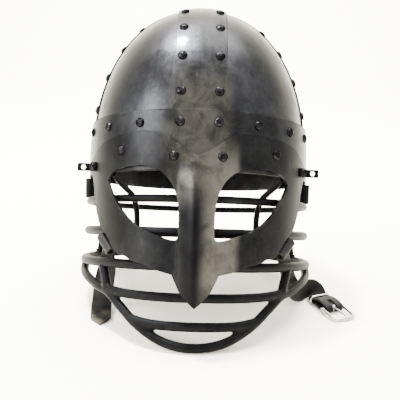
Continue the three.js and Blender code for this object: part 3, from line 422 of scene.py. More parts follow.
# ---- meshes ----
def make_piece(name, points, faces, body, nodes, look, bevel=0.0, edge=None, angle=35):
    """A mesh that rides a body in place of nodes of the source, with its finish."""
    slot, material = finish(look)
    mesh = bpy.data.meshes.new(name)
    mesh.from_pydata([tuple(p) for p in points], [], [tuple(int(i) for i in f) for f in faces])
    mesh.validate()
    if edge is not None:
        layer = mesh.attributes.new("edge", "FLOAT", "POINT")
        layer.data.foreach_set("value", np.asarray(edge, np.float32))
    mesh.polygons.foreach_set("use_smooth", [True] * len(mesh.polygons))
    mesh.set_sharp_from_angle(angle=math.radians(angle))
    piece = bpy.data.objects.new(name, mesh)
    bpy.context.scene.collection.objects.link(piece)
    mesh.materials.append(material)
    if bevel:
        mod = piece.modifiers.new("rounded edge", "BEVEL")
        mod.width = bevel * MM
        mod.segments = 2
        mod.limit_method = "ANGLE"
        mod.angle_limit = math.radians(50)
    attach(piece, body)
    if nodes:
        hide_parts(*nodes)
    return piece


def smooth_piece(node, points, faces, look, **details):
    """The smooth piece that stands for a node of the helmet's own body."""
    return make_piece(node + "_smooth", from_level(points), faces, "helmet", [node], look, **details)


def grid_faces(rows, columns, start=0, wrap=False, flip=False):
    """The faces between the points of a grid, row after row."""
    faces = []
    for r in range(rows - 1):
        for c in range(columns if wrap else columns - 1):
            a, b = start + r * columns + c, start + r * columns + (c + 1) % columns
            face = (a, b, b + columns, a + columns)
            faces.append(face[::-1] if flip else face)
    return faces


def shell(outer, inner, wrap=False):
    """A walled sheet between two grids of points, rows by columns, with its rim closed."""
    rows, columns = outer.shape[:2]
    count = rows * columns
    points = np.concatenate([outer.reshape(-1, 3), inner.reshape(-1, 3)])
    faces = grid_faces(rows, columns, 0, wrap) + grid_faces(rows, columns, count, wrap, True)
    edge = np.zeros((2, rows, columns), np.float32)
    edge[:, (0, -1), :] = 1
    for r in (0, rows - 1):
        for c in range(columns if wrap else columns - 1):
            a, b = r * columns + c, r * columns + (c + 1) % columns
            face = (a, a + count, b + count, b)
            faces.append(face if r == 0 else face[::-1])
    if not wrap:
        edge[:, :, (0, -1)] = 1
        for c in (0, columns - 1):
            for r in range(rows - 1):
                a, b = r * columns + c, (r + 1) * columns + c
                face = (a, b, b + count, a + count)
                faces.append(face if c == 0 else face[::-1])
    return points, outward(points, faces), edge.ravel()


def outward(points, faces):
    """The faces turned so that a closed body's volume is positive."""
    p = np.asarray(points, float)
    volume = 0.0
    for f in faces:
        for i in range(1, len(f) - 1):
            volume += np.dot(p[f[0]], np.cross(p[f[i]], p[f[i + 1]]))
    return faces if volume > 0 else [f[::-1] for f in faces]


def inside(point, outline):
    """Whether a flat point lies in a closed outline."""
    x, y = point
    x0, y0 = outline[:, 0], outline[:, 1]
    x1, y1 = np.roll(x0, -1), np.roll(y0, -1)
    crosses = (y0 > y) != (y1 > y)
    safe = np.where(y1 == y0, 1, y1 - y0)
    return bool(np.sum(crosses & (x < (x1 - x0) * (y - y0) / safe + x0)) % 2)


def plate(outline, holes, spacing, outer_at, inner_at):
    """A walled plate from a flat outline with holes, laid on two surfaces."""
    rings = [np.asarray(r, float) for r in (outline, *holes)]

    def in_sheet(point):
        return inside(point, rings[0]) and not any(inside(point, ring) for ring in rings[1:])

    edges, flat = [], []
    for ring in rings:
        start = len(flat)
        flat.extend(ring.tolist())
        edges += [(start + i, start + (i + 1) % len(ring)) for i in range(len(ring))]
    border = np.array(flat)
    low, high = border.min(0), border.max(0)
    row = 0
    for y in np.arange(low[1], high[1], spacing):
        row += 1
        for x in np.arange(low[0] + (row % 2) * spacing / 2, high[0], spacing):
            near = np.hypot(*(border - (x, y)).T).min() < spacing * 0.6
            if not near and in_sheet((x, y)):
                flat.append([x, y])
    made = geometry.delaunay_2d_cdt([Vector(p) for p in flat], edges, [], 0, 1e-6)
    flat = np.array([tuple(p) for p in made[0]])
    sheet = [tuple(f) for f in made[2] if in_sheet(flat[list(f)].mean(0))]
    count = len(flat)
    points = np.concatenate([outer_at(flat), inner_at(flat)])
    used = dict.fromkeys((f[i], f[(i + 1) % 3]) for f in sheet for i in range(3))
    faces = list(sheet) + [tuple(i + count for i in f[::-1]) for f in sheet]
    faces += [(b, a, a + count, b + count) for a, b in used if (b, a) not in used]
    edge = np.array([1.0 if min(np.hypot(*(border - p).T)) < 1e-3 else 0.0 for p in flat])
    return points, outward(points, faces), np.concatenate([edge, edge])


def end_caps(rings, sides):
    """The two faces that close a stack of rings."""
    return [tuple(range(sides))[::-1], tuple(range((rings - 1) * sides, rings * sides))]


def tube(line, radius, sides, closed=False):
    """A round bar along a line, of one radius or one for each point, its ends flat when it is open."""
    p = np.asarray(line, float)
    count = len(p)
    if closed:
        ahead = np.roll(p, -1, 0) - np.roll(p, 1, 0)
    else:
        ahead = np.gradient(p, axis=0)
    ahead /= np.linalg.norm(ahead, axis=1)[:, None]
    up = np.array((0.0, 0.0, 1.0)) if abs(ahead[0][2]) < 0.9 else np.array((1.0, 0.0, 0.0))
    points = []
    angles = full_turn(sides)
    for here, way, r in zip(p, ahead, np.broadcast_to(radius, count)):
        up = up - way * np.dot(up, way)
        up /= np.linalg.norm(up)
        side = np.cross(way, up)
        points.append(here + r * (np.outer(np.cos(angles), up) + np.outer(np.sin(angles), side)))
    points = np.array(points).reshape(-1, 3)
    faces = grid_faces(count, sides, 0, True)
    if closed:
        last = (count - 1) * sides
        faces += [(last + i, last + (i + 1) % sides, (i + 1) % sides, i) for i in range(sides)]
    else:
        faces += end_caps(count, sides)
    return points, outward(points, faces)


def merge(parts):
    """Several bodies as one mesh."""
    points, faces, start = [], [], 0
    for p, f in parts:
        points.append(p)
        faces += [tuple(i + start for i in face) for face in f]
        start += len(p)
    return np.concatenate(points), faces


# ---- shaders ----
class Wire:
    """A node's output, with arithmetic that adds Math nodes."""

    def __init__(self, shader, socket):
        self.shader = shader
        self.socket = socket

    def _math(self, operation, first, second):
        return self.shader.node("ShaderNodeMath", {"operation": operation}, {0: first, 1: second})

    def __add__(self, other):
        return self._math("ADD", self, other)

    __radd__ = __add__

    def __sub__(self, other):
        return self._math("SUBTRACT", self, other)

    def __rsub__(self, other):
        return self._math("SUBTRACT", other, self)

    def __mul__(self, other):
        return self._math("MULTIPLY", self, other)

    __rmul__ = __mul__

    def __pow__(self, other):
        return self._math("POWER", self, other)

    def over(self, low, high):
        """0 below low, 1 above high, smooth between."""
        settings = {"interpolation_type": "SMOOTHSTEP"}
        return self.shader.node("ShaderNodeMapRange", settings, {0: self, 1: low, 2: high})

    def between(self, low, full, fade, gone):
        """1 from full to fade, 0 below low and above gone, smooth between."""
        return self.over(low, full) * (1 - self.over(fade, gone))

    def clipped(self):
        """The value kept from 0 to 1."""
        return self.shader.node("ShaderNodeClamp", {}, {0: self})


class Shader:
    """One finish under construction."""

    def __init__(self, name):
        self.material = bpy.data.materials.new(name)
        self.material.use_nodes = True
        self.tree = self.material.node_tree
        self.surface = self.tree.nodes["Principled BSDF"]

    def node(self, kind, settings=None, values=None, output=0):
        """Any node, with its settings first and then the values or links of its sockets."""
        made = self.tree.nodes.new(kind)
        for key, value in (settings or {}).items():
            setattr(made, key, value)
        for key, value in (values or {}).items():
            self.join(made.inputs[key], value)
        return Wire(self, made.outputs[output])

    def join(self, socket, value):
        """Links a socket to a wire, or sets its value."""
        if isinstance(value, Wire):
            self.tree.links.new(value.socket, socket)
        elif socket.type == "RGBA":
            socket.default_value = (*value, 1)
        else:
            socket.default_value = value

    def set(self, **values):
        """The finished material, with the surface's sockets set by name."""
        for key, value in values.items():
            self.join(self.surface.inputs[key.replace("_", " ").title().replace("Ior", "IOR")], value)
        return self.material

    def place(self):
        """The surface's point, in metres, on the level helmet."""
        origin = tuple(-v * MM for v in HELMET_ORIGIN)
        moved = self.moved(self.own_point(), origin)
        return self.node("ShaderNodeVectorRotate", {}, {"Vector": moved, "Axis": (1, 0, 0), "Angle": LEAN})

    def own_point(self):
        """The surface's point as modelled, which stays with a piece when its body turns."""
        return self.node("ShaderNodeTexCoord", {}, {}, 3)

    def split(self, vector):
        """The three parts of a vector."""
        made = self.node("ShaderNodeSeparateXYZ", {}, {0: vector})
        outputs = made.socket.node.outputs
        return [Wire(self, outputs[i]) for i in range(3)]

    def noise(self, vector, scale, detail=4, roughness=0.55, distortion=0.0):
        """Cloudy noise over a vector."""
        values = {"Vector": vector, "Scale": scale, "Detail": detail, "Roughness": roughness}
        values["Distortion"] = distortion
        return self.node("ShaderNodeTexNoise", {}, values)

    def moved(self, vector, step):
        """A vector moved by a step."""
        return self.node("ShaderNodeVectorMath", {"operation": "ADD"}, {0: vector, 1: step})

    def stretched(self, vector, x, y, z):
        """A vector scaled on each axis by itself."""
        return self.node("ShaderNodeVectorMath", {"operation": "MULTIPLY"}, {0: vector, 1: (x, y, z)})

    def blend(self, share, first, second):
        """The first colour, with a share of the second."""
        return self.node("ShaderNodeMix", {"data_type": "RGBA"}, {0: share, 6: first, 7: second}, 2)

    def bump(self, height, distance, strength, normal=None):
        """A normal that a height raises, by a distance in millimetres."""
        values = {"Height": height, "Distance": distance * MM, "Strength": strength}
        if normal is not None:
            values["Normal"] = normal
        return self.node("ShaderNodeBump", {}, values)

    def around(self, place):
        """Coordinates that run round the skull and up it, for streaks that follow its meridians."""
        x, y, z = self.split(place)
        flat = self.node("ShaderNodeCombineXYZ", {}, {0: x, 1: y, 2: 0.0})
        way = self.node("ShaderNodeVectorMath", {"operation": "NORMALIZE"}, {0: flat})
        wx, wy, _ = self.split(way)
        return self.node("ShaderNodeCombineXYZ", {}, {0: wx, 1: wy, 2: z * 10})

    def edge(self):
        """1 on a piece's rims, 0 away from them."""
        return self.node("ShaderNodeAttribute", {"attribute_name": "edge"}, {}, 2)


# Where the front's marks lie on the level helmet, in metres: the warm tint with its painted warm sheen, the
# glossy patch with its painted highlight tint, and the nasal's painted highlight and painted shade. A mark
# rises between the first two numbers and fades between the last two
FRONT = (0.06, 0.11)
WARM_TINT_AND_SHEEN_ACROSS, WARM_TINT_AND_SHEEN_UP = (-0.034, -0.008, 0.021, 0.03), (0.012, 0.045, 0.1, 0.142)
GLOSS_AND_HIGHLIGHT_ACROSS, GLOSS_AND_HIGHLIGHT_UP = (-0.042, -0.029, -0.008, 0.002), (0.138, 0.15, 0.168, 0.182)
NASAL_HIGHLIGHT_ACROSS, NASAL_HIGHLIGHT_FOOT, NASAL_HIGHLIGHT_FADE = (-0.001, 0.014, 0.028, 0.036), (-0.05, -0.03), (0.045, 0.085)
SHADE_ACROSS, SHADE_FADE = (-0.015, -0.008, -0.001, 0.004), (0.012, 0.034)


def steel_finish(name, tone, streak, paints_nasal_light, seed):
    """Blackened, oiled steel, brushed up and down, with mottled stains; on the front a painted warm sheen, a
    painted highlight tint and the nasal's painted highlight and shade, and painted shade on the rims.
    """
    s = Shader(name)
    tints = colours()
    place = s.place()
    shifted = s.moved(s.around(place), (seed, 0, 0))
    fine = s.noise(s.stretched(shifted, 34, 34, 2.2), 2.2, 5, 0.6)
    broad = s.noise(s.stretched(shifted, 5, 5, 1.2), 1.6, 3, 0.5)
    mottle = s.noise(place, 46, 7, 0.66, 0.5)
    speckle = s.noise(place, 260, 4, 0.6)
    grain = s.noise(place, 900, 3, 0.6)
    x, y, z = s.split(place)
    front = (0 - y).over(*FRONT)
    cloud = fine.over(0.3, 0.75) * streak + broad.over(0.32, 0.7) * 0.16
    cloud = (cloud + mottle.over(0.35, 0.7) * 0.42 + speckle.over(0.45, 0.7) * 0.22 + 0.02).clipped()
    colour = s.blend(cloud, getattr(tints, tone + "_dark"), getattr(tints, tone + "_light"))
    # The front's warm tint and its painted warm sheen, then rubbed edges, scratches, painted shade on the
    # rims and the dome's glossy patch with its painted highlight tint
    # Warm brown tint, and a painted warm sheen in a crisp band over the front's middle
    warm_tint_and_sheen = front * x.between(*WARM_TINT_AND_SHEEN_ACROSS) * z.between(*WARM_TINT_AND_SHEEN_UP) * (0.2 + mottle.over(0.3, 0.65))
    colour = s.blend(warm_tint_and_sheen.clipped() * 0.62, colour, tints.warm_tint_and_sheen_steel)
    worn = (s.edge() ** 6 * mottle.over(0.4, 0.65)).clipped()
    colour = s.blend(worn * 0.45, colour, tints.worn_steel)
    scratch = s.noise(s.stretched(shifted, 150, 150, 3.0), 2.0, 2, 0.5).over(0.73, 0.77)
    colour = s.blend(scratch * 0.3, colour, tints.worn_steel)
    # Painted shade: a dark shadow line along every rim, as in the gaps between plates
    rim = s.edge() ** 8
    colour = s.blend((rim * 0.7 * (1 - worn)).clipped(), colour, tints.painted_shade_steel)
    # The glossy patch: lower roughness, and a painted bluish highlight tint where the lamp's highlight falls
    gloss_and_highlight = front * x.between(*GLOSS_AND_HIGHLIGHT_ACROSS) * z.between(*GLOSS_AND_HIGHLIGHT_UP)
    gloss_and_highlight = (gloss_and_highlight * (1.3 - speckle.over(0.5, 0.64))).clipped()
    colour = s.blend(gloss_and_highlight * 0.85, colour, tints.polished_highlight_steel)
    rough = 0.29 + fine.over(0.3, 0.7) * 0.05 + mottle.over(0.4, 0.7) * 0.09 + rim * 0.7 - gloss_and_highlight * 0.2
    # Painted highlight on the nasal's +x side, and painted shade on its -x side
    if paints_nasal_light:
        nasal_highlight = front * x.between(*NASAL_HIGHLIGHT_ACROSS) * (1 - z.over(*NASAL_HIGHLIGHT_FADE))
        nasal_highlight = nasal_highlight * (0.5 + 0.5 * mottle.over(0.35, 0.6)) * (0.4 + 0.6 * z.over(*NASAL_HIGHLIGHT_FOOT))
        shade = front * x.between(*SHADE_ACROSS) * (1 - z.over(*SHADE_FADE))
        colour = s.blend((nasal_highlight * 0.8).clipped(), colour, tints.nasal_highlight_steel)
        colour = s.blend((shade * 0.75).clipped(), colour, tints.painted_shade_steel)
    dents = s.bump(s.noise(place, 30, 2, 0.5), 0.5, 0.5)
    brushed = s.bump(fine * 0.4 + grain * 0.3 + speckle * 0.3 - scratch * 0.3, 0.07, 0.8, dents)
    return s.set(base_color=colour, metallic=0.95, roughness=rough.clipped(), normal=brushed,
                 specular_tint=tints.steel_rim, specular_ior_level=0.2)


def bar_finish(name):
    """Dull black coating on round bar, rubbed a little lighter in places."""
    s = Shader(name)
    place = s.place()
    mottle = s.noise(place, 60, 5, 0.6, 0.3)
    grain = s.noise(place, 700, 3, 0.6)
    rub = s.noise(place, 26, 6, 0.7).over(0.54, 0.72)
    tints = colours()
    colour = s.blend(mottle.over(0.3, 0.7), tints.bar_dark, tints.bar_light)
    colour = s.blend(rub * 0.45, colour, tints.bar_rubbed)
    rough = 0.46 + mottle * 0.14
    lumps = s.bump(mottle, 0.2, 0.5)
    skin = s.bump(grain, 0.04, 0.7, lumps)
    return s.set(base_color=colour, metallic=0.8, roughness=rough.clipped(), normal=skin,
                 specular_tint=tints.steel_rim, specular_ior_level=0.25)


def rivet_finish(name):
    """Dark rivet heads with hammer facets."""
    s = Shader(name)
    place = s.place()
    facets = s.node("ShaderNodeTexVoronoi", {"feature": "SMOOTH_F1"}, {"Vector": place, "Scale": 520.0})
    mottle = s.noise(place, 180, 4, 0.6)
    tints = colours()
    colour = s.blend(mottle.over(0.35, 0.7), tints.rivet_dark, tints.rivet_light)
    rough = 0.24 + mottle * 0.16
    hammered = s.bump(facets, 0.6, 0.9)
    return s.set(base_color=colour, metallic=0.95, roughness=rough.clipped(), normal=hammered,
                 specular_tint=tints.dull_rim)


def leather_finish(name, worn_low):
    """Black leather with a fine grain and creases, grey-brown where it is worn."""
    s = Shader(name)
    point = s.own_point()
    tints = colours()
    cell_edges = {"feature": "DISTANCE_TO_EDGE"}
    cells = s.node("ShaderNodeTexVoronoi", cell_edges, {"Vector": point, "Scale": 1100.0})
    crease = s.noise(point, 240, 5, 0.65, 0.8)
    mottle = s.noise(point, 70, 5, 0.6)
    colour = s.blend(mottle.over(0.35, 0.7), tints.leather_dark, tints.leather_light)
    rub = (s.edge() ** 2 * crease.over(0.4, 0.65)).clipped()
    colour = s.blend(rub * 0.5, colour, tints.leather_rubbed)
    if worn_low:
        x, y, z = s.split(point)
        bare = (1 - z.over(0.01, 0.04)) * (1 - y.over(-0.075, -0.055)) * mottle.over(0.3, 0.62)
        bare = bare * (1 - x.over(-0.104, -0.088) * 0.5)
        colour = s.blend((bare * 0.9).clipped(), colour, tints.leather_bare)
    rough = 0.58 + crease * 0.25
    pores = s.bump(cells.over(0, 0.25), 0.12, 0.5)
    folds = s.bump(crease, 0.35, 0.6, pores)
    return s.set(base_color=colour, metallic=0.0, roughness=rough.clipped(), normal=folds,
                 specular_ior_level=0.12)


def nickel_finish(name):
    """Bright plated wire with fine scratches."""
    s = Shader(name)
    point = s.own_point()
    mottle = s.noise(point, 260, 4, 0.6)
    lines = s.noise(s.stretched(point, 900, 900, 200), 1.5, 3, 0.6)
    colour = s.blend(mottle.over(0.4, 0.75), colours().nickel_bright, colours().nickel_dull)
    rough = 0.16 + mottle * 0.14 + lines * 0.06
    scratched = s.bump(lines, 0.03, 0.5)
    return s.set(base_color=colour, metallic=1.0, roughness=rough.clipped(), normal=scratched)


# Each finish's slot, its maker and what the maker needs
FINISHES = {
    "plates": ("steel", steel_finish, "plate steel", "plate", 0.13, False, 0.0),
    "bands": ("steel", steel_finish, "band steel", "band", 0.13, False, 3.0),
    "visor": ("steel", steel_finish, "visor steel", "visor", 0.14, True, 7.0),
    "tabs": ("steel", steel_finish, "tab steel", "tab", 0.2, False, 5.0),
    "bars": ("bars", bar_finish, "black bar"),
    "rivets": ("rivets", rivet_finish, "rivet steel"),
    "leather": ("leather", leather_finish, "black leather", False),
    "worn": ("leather", leather_finish, "worn leather", True),
    "nickel": ("nickel", nickel_finish, "bright nickel"),
}
MATERIALS = {}


def finish(look):
    """A finish's slot, and its material, made on first use."""
    slot, maker, *needs = FINISHES[look]
    if look not in MATERIALS:
        MATERIALS[look] = maker(*needs)
    return slot, MATERIALS[look]


# ---- skull ----
def skull_grid(turns, outset, columns):
    """The skull between turns, from the rim to the crown, row after row."""
    rows = []
    for z in np.linspace(RIM_Z, SKULL_WIDEST_Z, 6):
        rows.append(on_skull(turns, z, outset))
    for angle in np.linspace(0, math.pi / 2, columns)[1:]:
        radius = (SKULL_HALF_WIDTH + outset) * max(math.cos(angle), 0) ** (2 / CROWN_POWER)
        z = SKULL_WIDEST_Z + (CROWN_RISE + outset) * math.sin(angle) ** (2 / CROWN_POWER)
        radius = max(radius, CROWN_TIP_RADIUS)
        rows.append(on_plan(turns, radius, radius * DEPTH_RATIO, z))
    return np.array(rows)


def make_skull_plates():
    for end, start in (("front", -90), ("back", -180)):
        for side, right in SIDES:
            turns = np.linspace(start + PLATE_SEAM_TURN, start + 90 - PLATE_SEAM_TURN, 40) * -right
            points, faces, edge = shell(skull_grid(turns, 0, 44), skull_grid(turns, -PLATE_WALL, 44))
            smooth_piece(f"skull_plate_{end}_{side}", points, faces, "plates", edge=edge)


def with_skirt(sheet, both):
    """A band's sheet lengthened straight down to the rim, at its first end or at both."""
    drops = np.linspace(RIM_Z, SKULL_WIDEST_Z, 5)[:-1]
    first = [np.stack([sheet[0][:, 0], sheet[0][:, 1], np.full(len(sheet[0]), z)], -1) for z in drops]
    last = [np.stack([sheet[-1][:, 0], sheet[-1][:, 1], np.full(len(sheet[-1]), z)], -1) for z in drops[::-1]]
    return np.concatenate([first, sheet, last] if both else [first, sheet])


def band_sheets(half, stop_at, along_x, both):
    """The two faces of a band over the crown. stop_at gives the angle where each column stops."""
    aside = np.linspace(-half, half, 15)
    sheets = []
    for outset in (BAND_OUTER, BAND_INNER):
        angle = stop_at(aside, outset) * np.linspace(0, 1, 90)[:, None]
        sheet = over_crown(angle, np.broadcast_to(aside, angle.shape), outset, along_x)
        sheets.append(with_skirt(sheet, both))
    return sheets


def make_crest_band():
    sheets = band_sheets(CREST_HALF, lambda aside, outset: np.full(len(aside), math.pi), False, True)
    points, faces, edge = shell(*sheets)
    smooth_piece("crest_band", points, faces, "bands", bevel=edge_round(), edge=edge)


def make_side_bands():
    start_x = CREST_HALF + FIT

    def stop_at(aside, outset):
        width = SKULL_HALF_WIDTH + outset
        flat = np.hypot(start_x / width, aside / (width * DEPTH_RATIO))
        up = (CROWN_RISE + outset) * (1 - flat**CROWN_POWER) ** (1 / CROWN_POWER)
        return np.arctan2(up, start_x)

    outer, inner = band_sheets(SIDE_HALF, stop_at, True, False)
    for side, right in SIDES:
        flip = (right, 1, 1)
        points, faces, edge = shell(outer * flip, inner * flip)
        smooth_piece(f"side_band_{side}", points, faces, "bands", bevel=edge_round(), edge=edge)


def make_brow_band():
    turns = np.linspace(0, 360, 160, endpoint=False)
    heights = np.linspace(RIM_Z, BROW_TOP_Z, 16)
    sheets = [np.array([on_skull(turns, z, outset) for z in heights]) for outset in (BROW_OUTER, BROW_INNER)]
    points, faces, edge = shell(*sheets, wrap=True)
    smooth_piece("brow_band", points, faces, "bands", bevel=edge_round(), edge=edge)


# ---- visor ----
def rounded_outline(points):
    """A closed outline smoothed between its corners."""
    p = np.asarray(points, float)
    count = len(p)
    ahead = np.roll(p, -1, 0) - p
    turn = np.degrees(np.arctan2(ahead[:, 1], ahead[:, 0]))
    bend = np.abs((turn - np.roll(turn, 1) + 180) % 360 - 180)
    sharp = [i for i in range(count) if bend[i] > OUTLINE_CORNER]
    if not sharp:
        return smooth_line(p, OUTLINE_STEPS, True)
    line = []
    for a, b in zip(sharp, sharp[1:] + [sharp[0] + count]):
        stretch = np.array([p[i % count] for i in range(a, b + 1)])
        line.append(smooth_line(stretch, OUTLINE_STEPS)[:-1] if len(stretch) > 2 else stretch[:1])
    return np.concatenate(line)


def visor_surface(flat, outset):
    """The visor's face over points of arc length and height, with its softly folded nasal."""
    half_width = SKULL_HALF_WIDTH + outset
    turn = np.degrees(flat[:, 0] / half_width)
    place = on_skull(turn, flat[:, 1], outset)
    across = np.abs(place[:, 0])
    heights, reaches = np.array(NASAL_RIDGE).T
    reach = np.interp(flat[:, 1], heights, reaches) * RIDGE_REACH
    half_depth = half_width * DEPTH_RATIO
    side_y = half_depth * math.sqrt(1 - (NASAL_HALF / half_width) ** 2)
    share = np.minimum(1, across / NASAL_HALF)
    soft = RIDGE_SOFTNESS
    fold = (math.hypot(1, soft) - np.hypot(share, soft)) / (math.hypot(1, soft) - soft)
    gable = side_y + (half_depth + reach - side_y) * fold
    folded = (across < NASAL_HALF) & (flat[:, 1] < NASAL_TOP_Z)
    place[:, 1] = np.where(folded, np.minimum(place[:, 1], -gable), place[:, 1])
    return place


def visor_flat(turn, z):
    """The arc length and height of a point on the visor's face."""
    return [math.radians(turn) * (SKULL_HALF_WIDTH + VISOR_OUTER), z]


def make_visor():
    right = [visor_flat(turn * VISOR_TURN, z) for turn, z in VISOR_EDGE]
    outline = right + [[-x, z] for x, z in right[1:-1][::-1]]
    holes = []
    for way in (1, -1):
        eye = []
        for across, up in EYE_EDGE:
            turn = EYE_INNER_TURN + across * (EYE_OUTER_TURN - EYE_INNER_TURN)
            x, z = visor_flat(turn, EYE_SILL_Z + up * EYE_HEIGHT)
            eye.append([way * x, z])
        holes.append(rounded_outline(eye))
    scale = (SKULL_HALF_WIDTH + VISOR_INNER) / (SKULL_HALF_WIDTH + VISOR_OUTER)
    points, faces, edge = plate(rounded_outline(outline), holes, VISOR_SPACING,
                                lambda flat: visor_surface(flat, VISOR_OUTER),
                                lambda flat: visor_surface(flat * (scale, 1), VISOR_INNER))
    smooth_piece("visor", points, faces, "visor", bevel=edge_round(), edge=edge, angle=40)


# ---- rivets ----
def rivet_mesh(point, normal, seed):
    """A domed head, a little uneven, standing on a surface point."""
    rng = np.random.default_rng(seed)
    side, other = square_to(normal, (0.13, 0.2, 0.97))
    angles = full_turn(20)
    two, three = rng.uniform(0, 6), rng.uniform(0, 6)
    wobble = 1 + 0.025 * np.sin(2 * angles + two) + 0.02 * np.sin(3 * angles + three)
    points = []
    for radius, height in RIVET_RINGS:
        for angle, w in zip(angles, wobble):
            flat = math.cos(angle) * side + math.sin(angle) * other
            points.append(point + flat * radius * w + normal * height)
    faces = grid_faces(len(RIVET_RINGS), len(angles), 0, True) + end_caps(len(RIVET_RINGS), len(angles))
    return np.array(points), outward(points, faces)


def rivet_z(share):
    """The height at a share of the way up from the rim to the crown."""
    return RIM_Z + share * (CROWN_Z - RIM_Z)


def crest_point(x, z, outset, front):
    """The point over the skull's front or back at a distance from the middle."""
    width = (SKULL_HALF_WIDTH + outset) * float(crown_share(z, outset))
    depth = width * DEPTH_RATIO
    return np.array((x, front * depth * math.sqrt(1 - (x / width) ** 2), z))


def side_point(y, z, outset, right):
    """The point over one of the skull's sides at a distance from the middle."""
    width = (SKULL_HALF_WIDTH + outset) * float(crown_share(z, outset))
    depth = width * DEPTH_RATIO
    return np.array((right * width * math.sqrt(1 - (y / depth) ** 2), y, z))


def add_rivet(name, point, in_source=True):
    """A rivet head, in place of the node of its name where the source has one."""
    nodes = [name] if in_source else []
    name += "_smooth" if in_source else ""
    points, faces = rivet_mesh(point, skull_normal(point), name_seed(name))
    make_piece(name, from_level(points), faces, "helmet", nodes, "rivets", angle=60)


def make_rivets():
    brow_z = rivet_z(BROW_RIVET_SHARE)
    for side, right in SIDES:
        for index, share in enumerate(CREST_RIVETS):
            x, z = right * CREST_RIVET_ASIDE, rivet_z(share)
            outset = BAND_OUTER if index else BROW_OUTER
            add_rivet(f"crest_rivet_{side}_{index + 1}", crest_point(x, z, outset, -1))
            if index:
                add_rivet(f"back_rivet_{side}_{index + 1}", crest_point(x, z, BAND_OUTER, 1), False)
        for index, turn in enumerate(BROW_FRONT_TURNS):
            add_rivet(f"brow_rivet_{side}_{index + 1}", on_skull(right * turn, brow_z, BROW_OUTER))
        for index, (turn, z) in enumerate(VISOR_RIVETS):
            add_rivet(f"visor_rivet_{side}_{index + 1}", on_skull(right * turn, z, VISOR_OUTER))
        for index, share in enumerate(SIDE_RIVETS):
            for end, front in (("front", -1), ("back", 1)):
                point = side_point(front * SIDE_RIVET_ASIDE, rivet_z(share), BAND_OUTER, right)
                add_rivet(f"side_rivet_{side}_{end}_{index + 1}", point, False)
        add_rivet(f"tab_rivet_{side}", on_skull(right * TAB_TURN, TAB_Z, TAB_OUTER))
    for index, turn in enumerate(BROW_BACK_TURNS):
        add_rivet(f"brow_back_rivet_{index + 1}", on_skull(turn, brow_z, BROW_OUTER), False)


# ---- guard ----
def lower_z(turn):
    """The lower ring's height, which rises toward the back."""
    return LOWER_RING_Z + LOWER_RING_LIFT * ((1 - np.cos(np.radians(turn))) / 2) ** 3


def add_bar(node, line, radius, closed=False):
    points, faces = tube(line, radius, BAR_SIDES, closed)
    smooth_piece(node, points, faces, "bars")


def make_hoops():
    turns = np.arange(144) / 144 * 360
    for name, half_width, back, z, radius in (
        ("eye_ring", HOOP_HALF_WIDTH, HOOP_BACK, EYE_RING_Z, THIN_BAR_RADIUS),
        ("middle_ring", HOOP_HALF_WIDTH, HOOP_BACK, 0.0, BAR_RADIUS),
        ("lower_ring", LOWER_HALF_WIDTH, LOWER_BACK, lower_z(turns), BAR_RADIUS),
    ):
        depth = np.where(np.cos(np.radians(turns)) > 0, HOOP_FRONT, back)
        add_bar(name, on_plan(turns, half_width, depth, z), radius, True)


def make_chin_guard():
    hang = float(lower_z(90.0))
    rows = [(turn, hang + down * (CHIN_Z - hang)) for turn, down in CHIN_LOOP]

    def at(turn, z):
        return on_plan(turn, LOWER_HALF_WIDTH, CHIN_FRONT, z)

    def cross_bar(end_turn, end_z, middle_z):
        shares = np.linspace(-1, 1, 21)
        line = [at(share * end_turn, middle_z + (end_z - middle_z) * share**4) for share in shares]
        return tube(line, BAR_RADIUS, CHIN_SIDES)

    loop = np.array([at(*row) for row in rows] + [at(-turn, z) for turn, z in rows[-2::-1]])
    (joint_turn, joint_z), (low_turn, _) = (rows[row] for row, *_ in CORNER_WEBS)
    parts = [
        tube(smooth_line(loop, 5), BAR_RADIUS, CHIN_SIDES),
        cross_bar(joint_turn + 1.5, joint_z + 2.5, CROSS_BAR_Z),
        cross_bar(low_turn + 1, LOW_CROSS_END_Z, LOW_CROSS_BAR_Z),
    ]
    top_turn = joint_turn + CHEEK_POST_LEAN
    for way in (-1, 1):
        top = on_plan(way * top_turn, LOWER_HALF_WIDTH, HOOP_FRONT, lower_z(top_turn))
        foot = at(way * joint_turn, joint_z + 1)
        parts.append(tube(np.linspace(top, foot, 8), BAR_RADIUS, CHIN_SIDES))
        for reach in (0.5, 1.0):
            for row, bar_z, inset, bar_reach, loop_reach, drop in CORNER_WEBS:
                turn, z = rows[row]
                start = at(way * (turn - inset - bar_reach * reach), bar_z)
                end = at(way * (turn - inset - loop_reach * reach), z - drop * reach)
                parts.append(tube(np.linspace(start, end, 4), WEB_RADIUS, 12))
    points, faces = merge(parts)
    piece = smooth_piece("chin_guard", points, faces, "bars", angle=180)
    fuse(piece, sizes().melt_step, sizes().melt_rounds)


def fuse(piece, voxel, rounds):
    """Melts a piece's bars together with soft corners, as weld does."""
    mod = piece.modifiers.new("melt", "REMESH")
    mod.mode = "VOXEL"
    mod.voxel_size = voxel
    mod.use_smooth_shade = True
    soft = piece.modifiers.new("soften", "SMOOTH")
    soft.factor = 0.5
    soft.iterations = rounds
    dg = bpy.context.evaluated_depsgraph_get()
    mesh = bpy.data.meshes.new_from_object(piece.evaluated_get(dg))
    piece.modifiers.clear()
    old = piece.data
    name = old.name
    mesh.polygons.foreach_set("use_smooth", [True] * len(mesh.polygons))
    piece.data = mesh
    bpy.data.meshes.remove(old)
    mesh.name = name


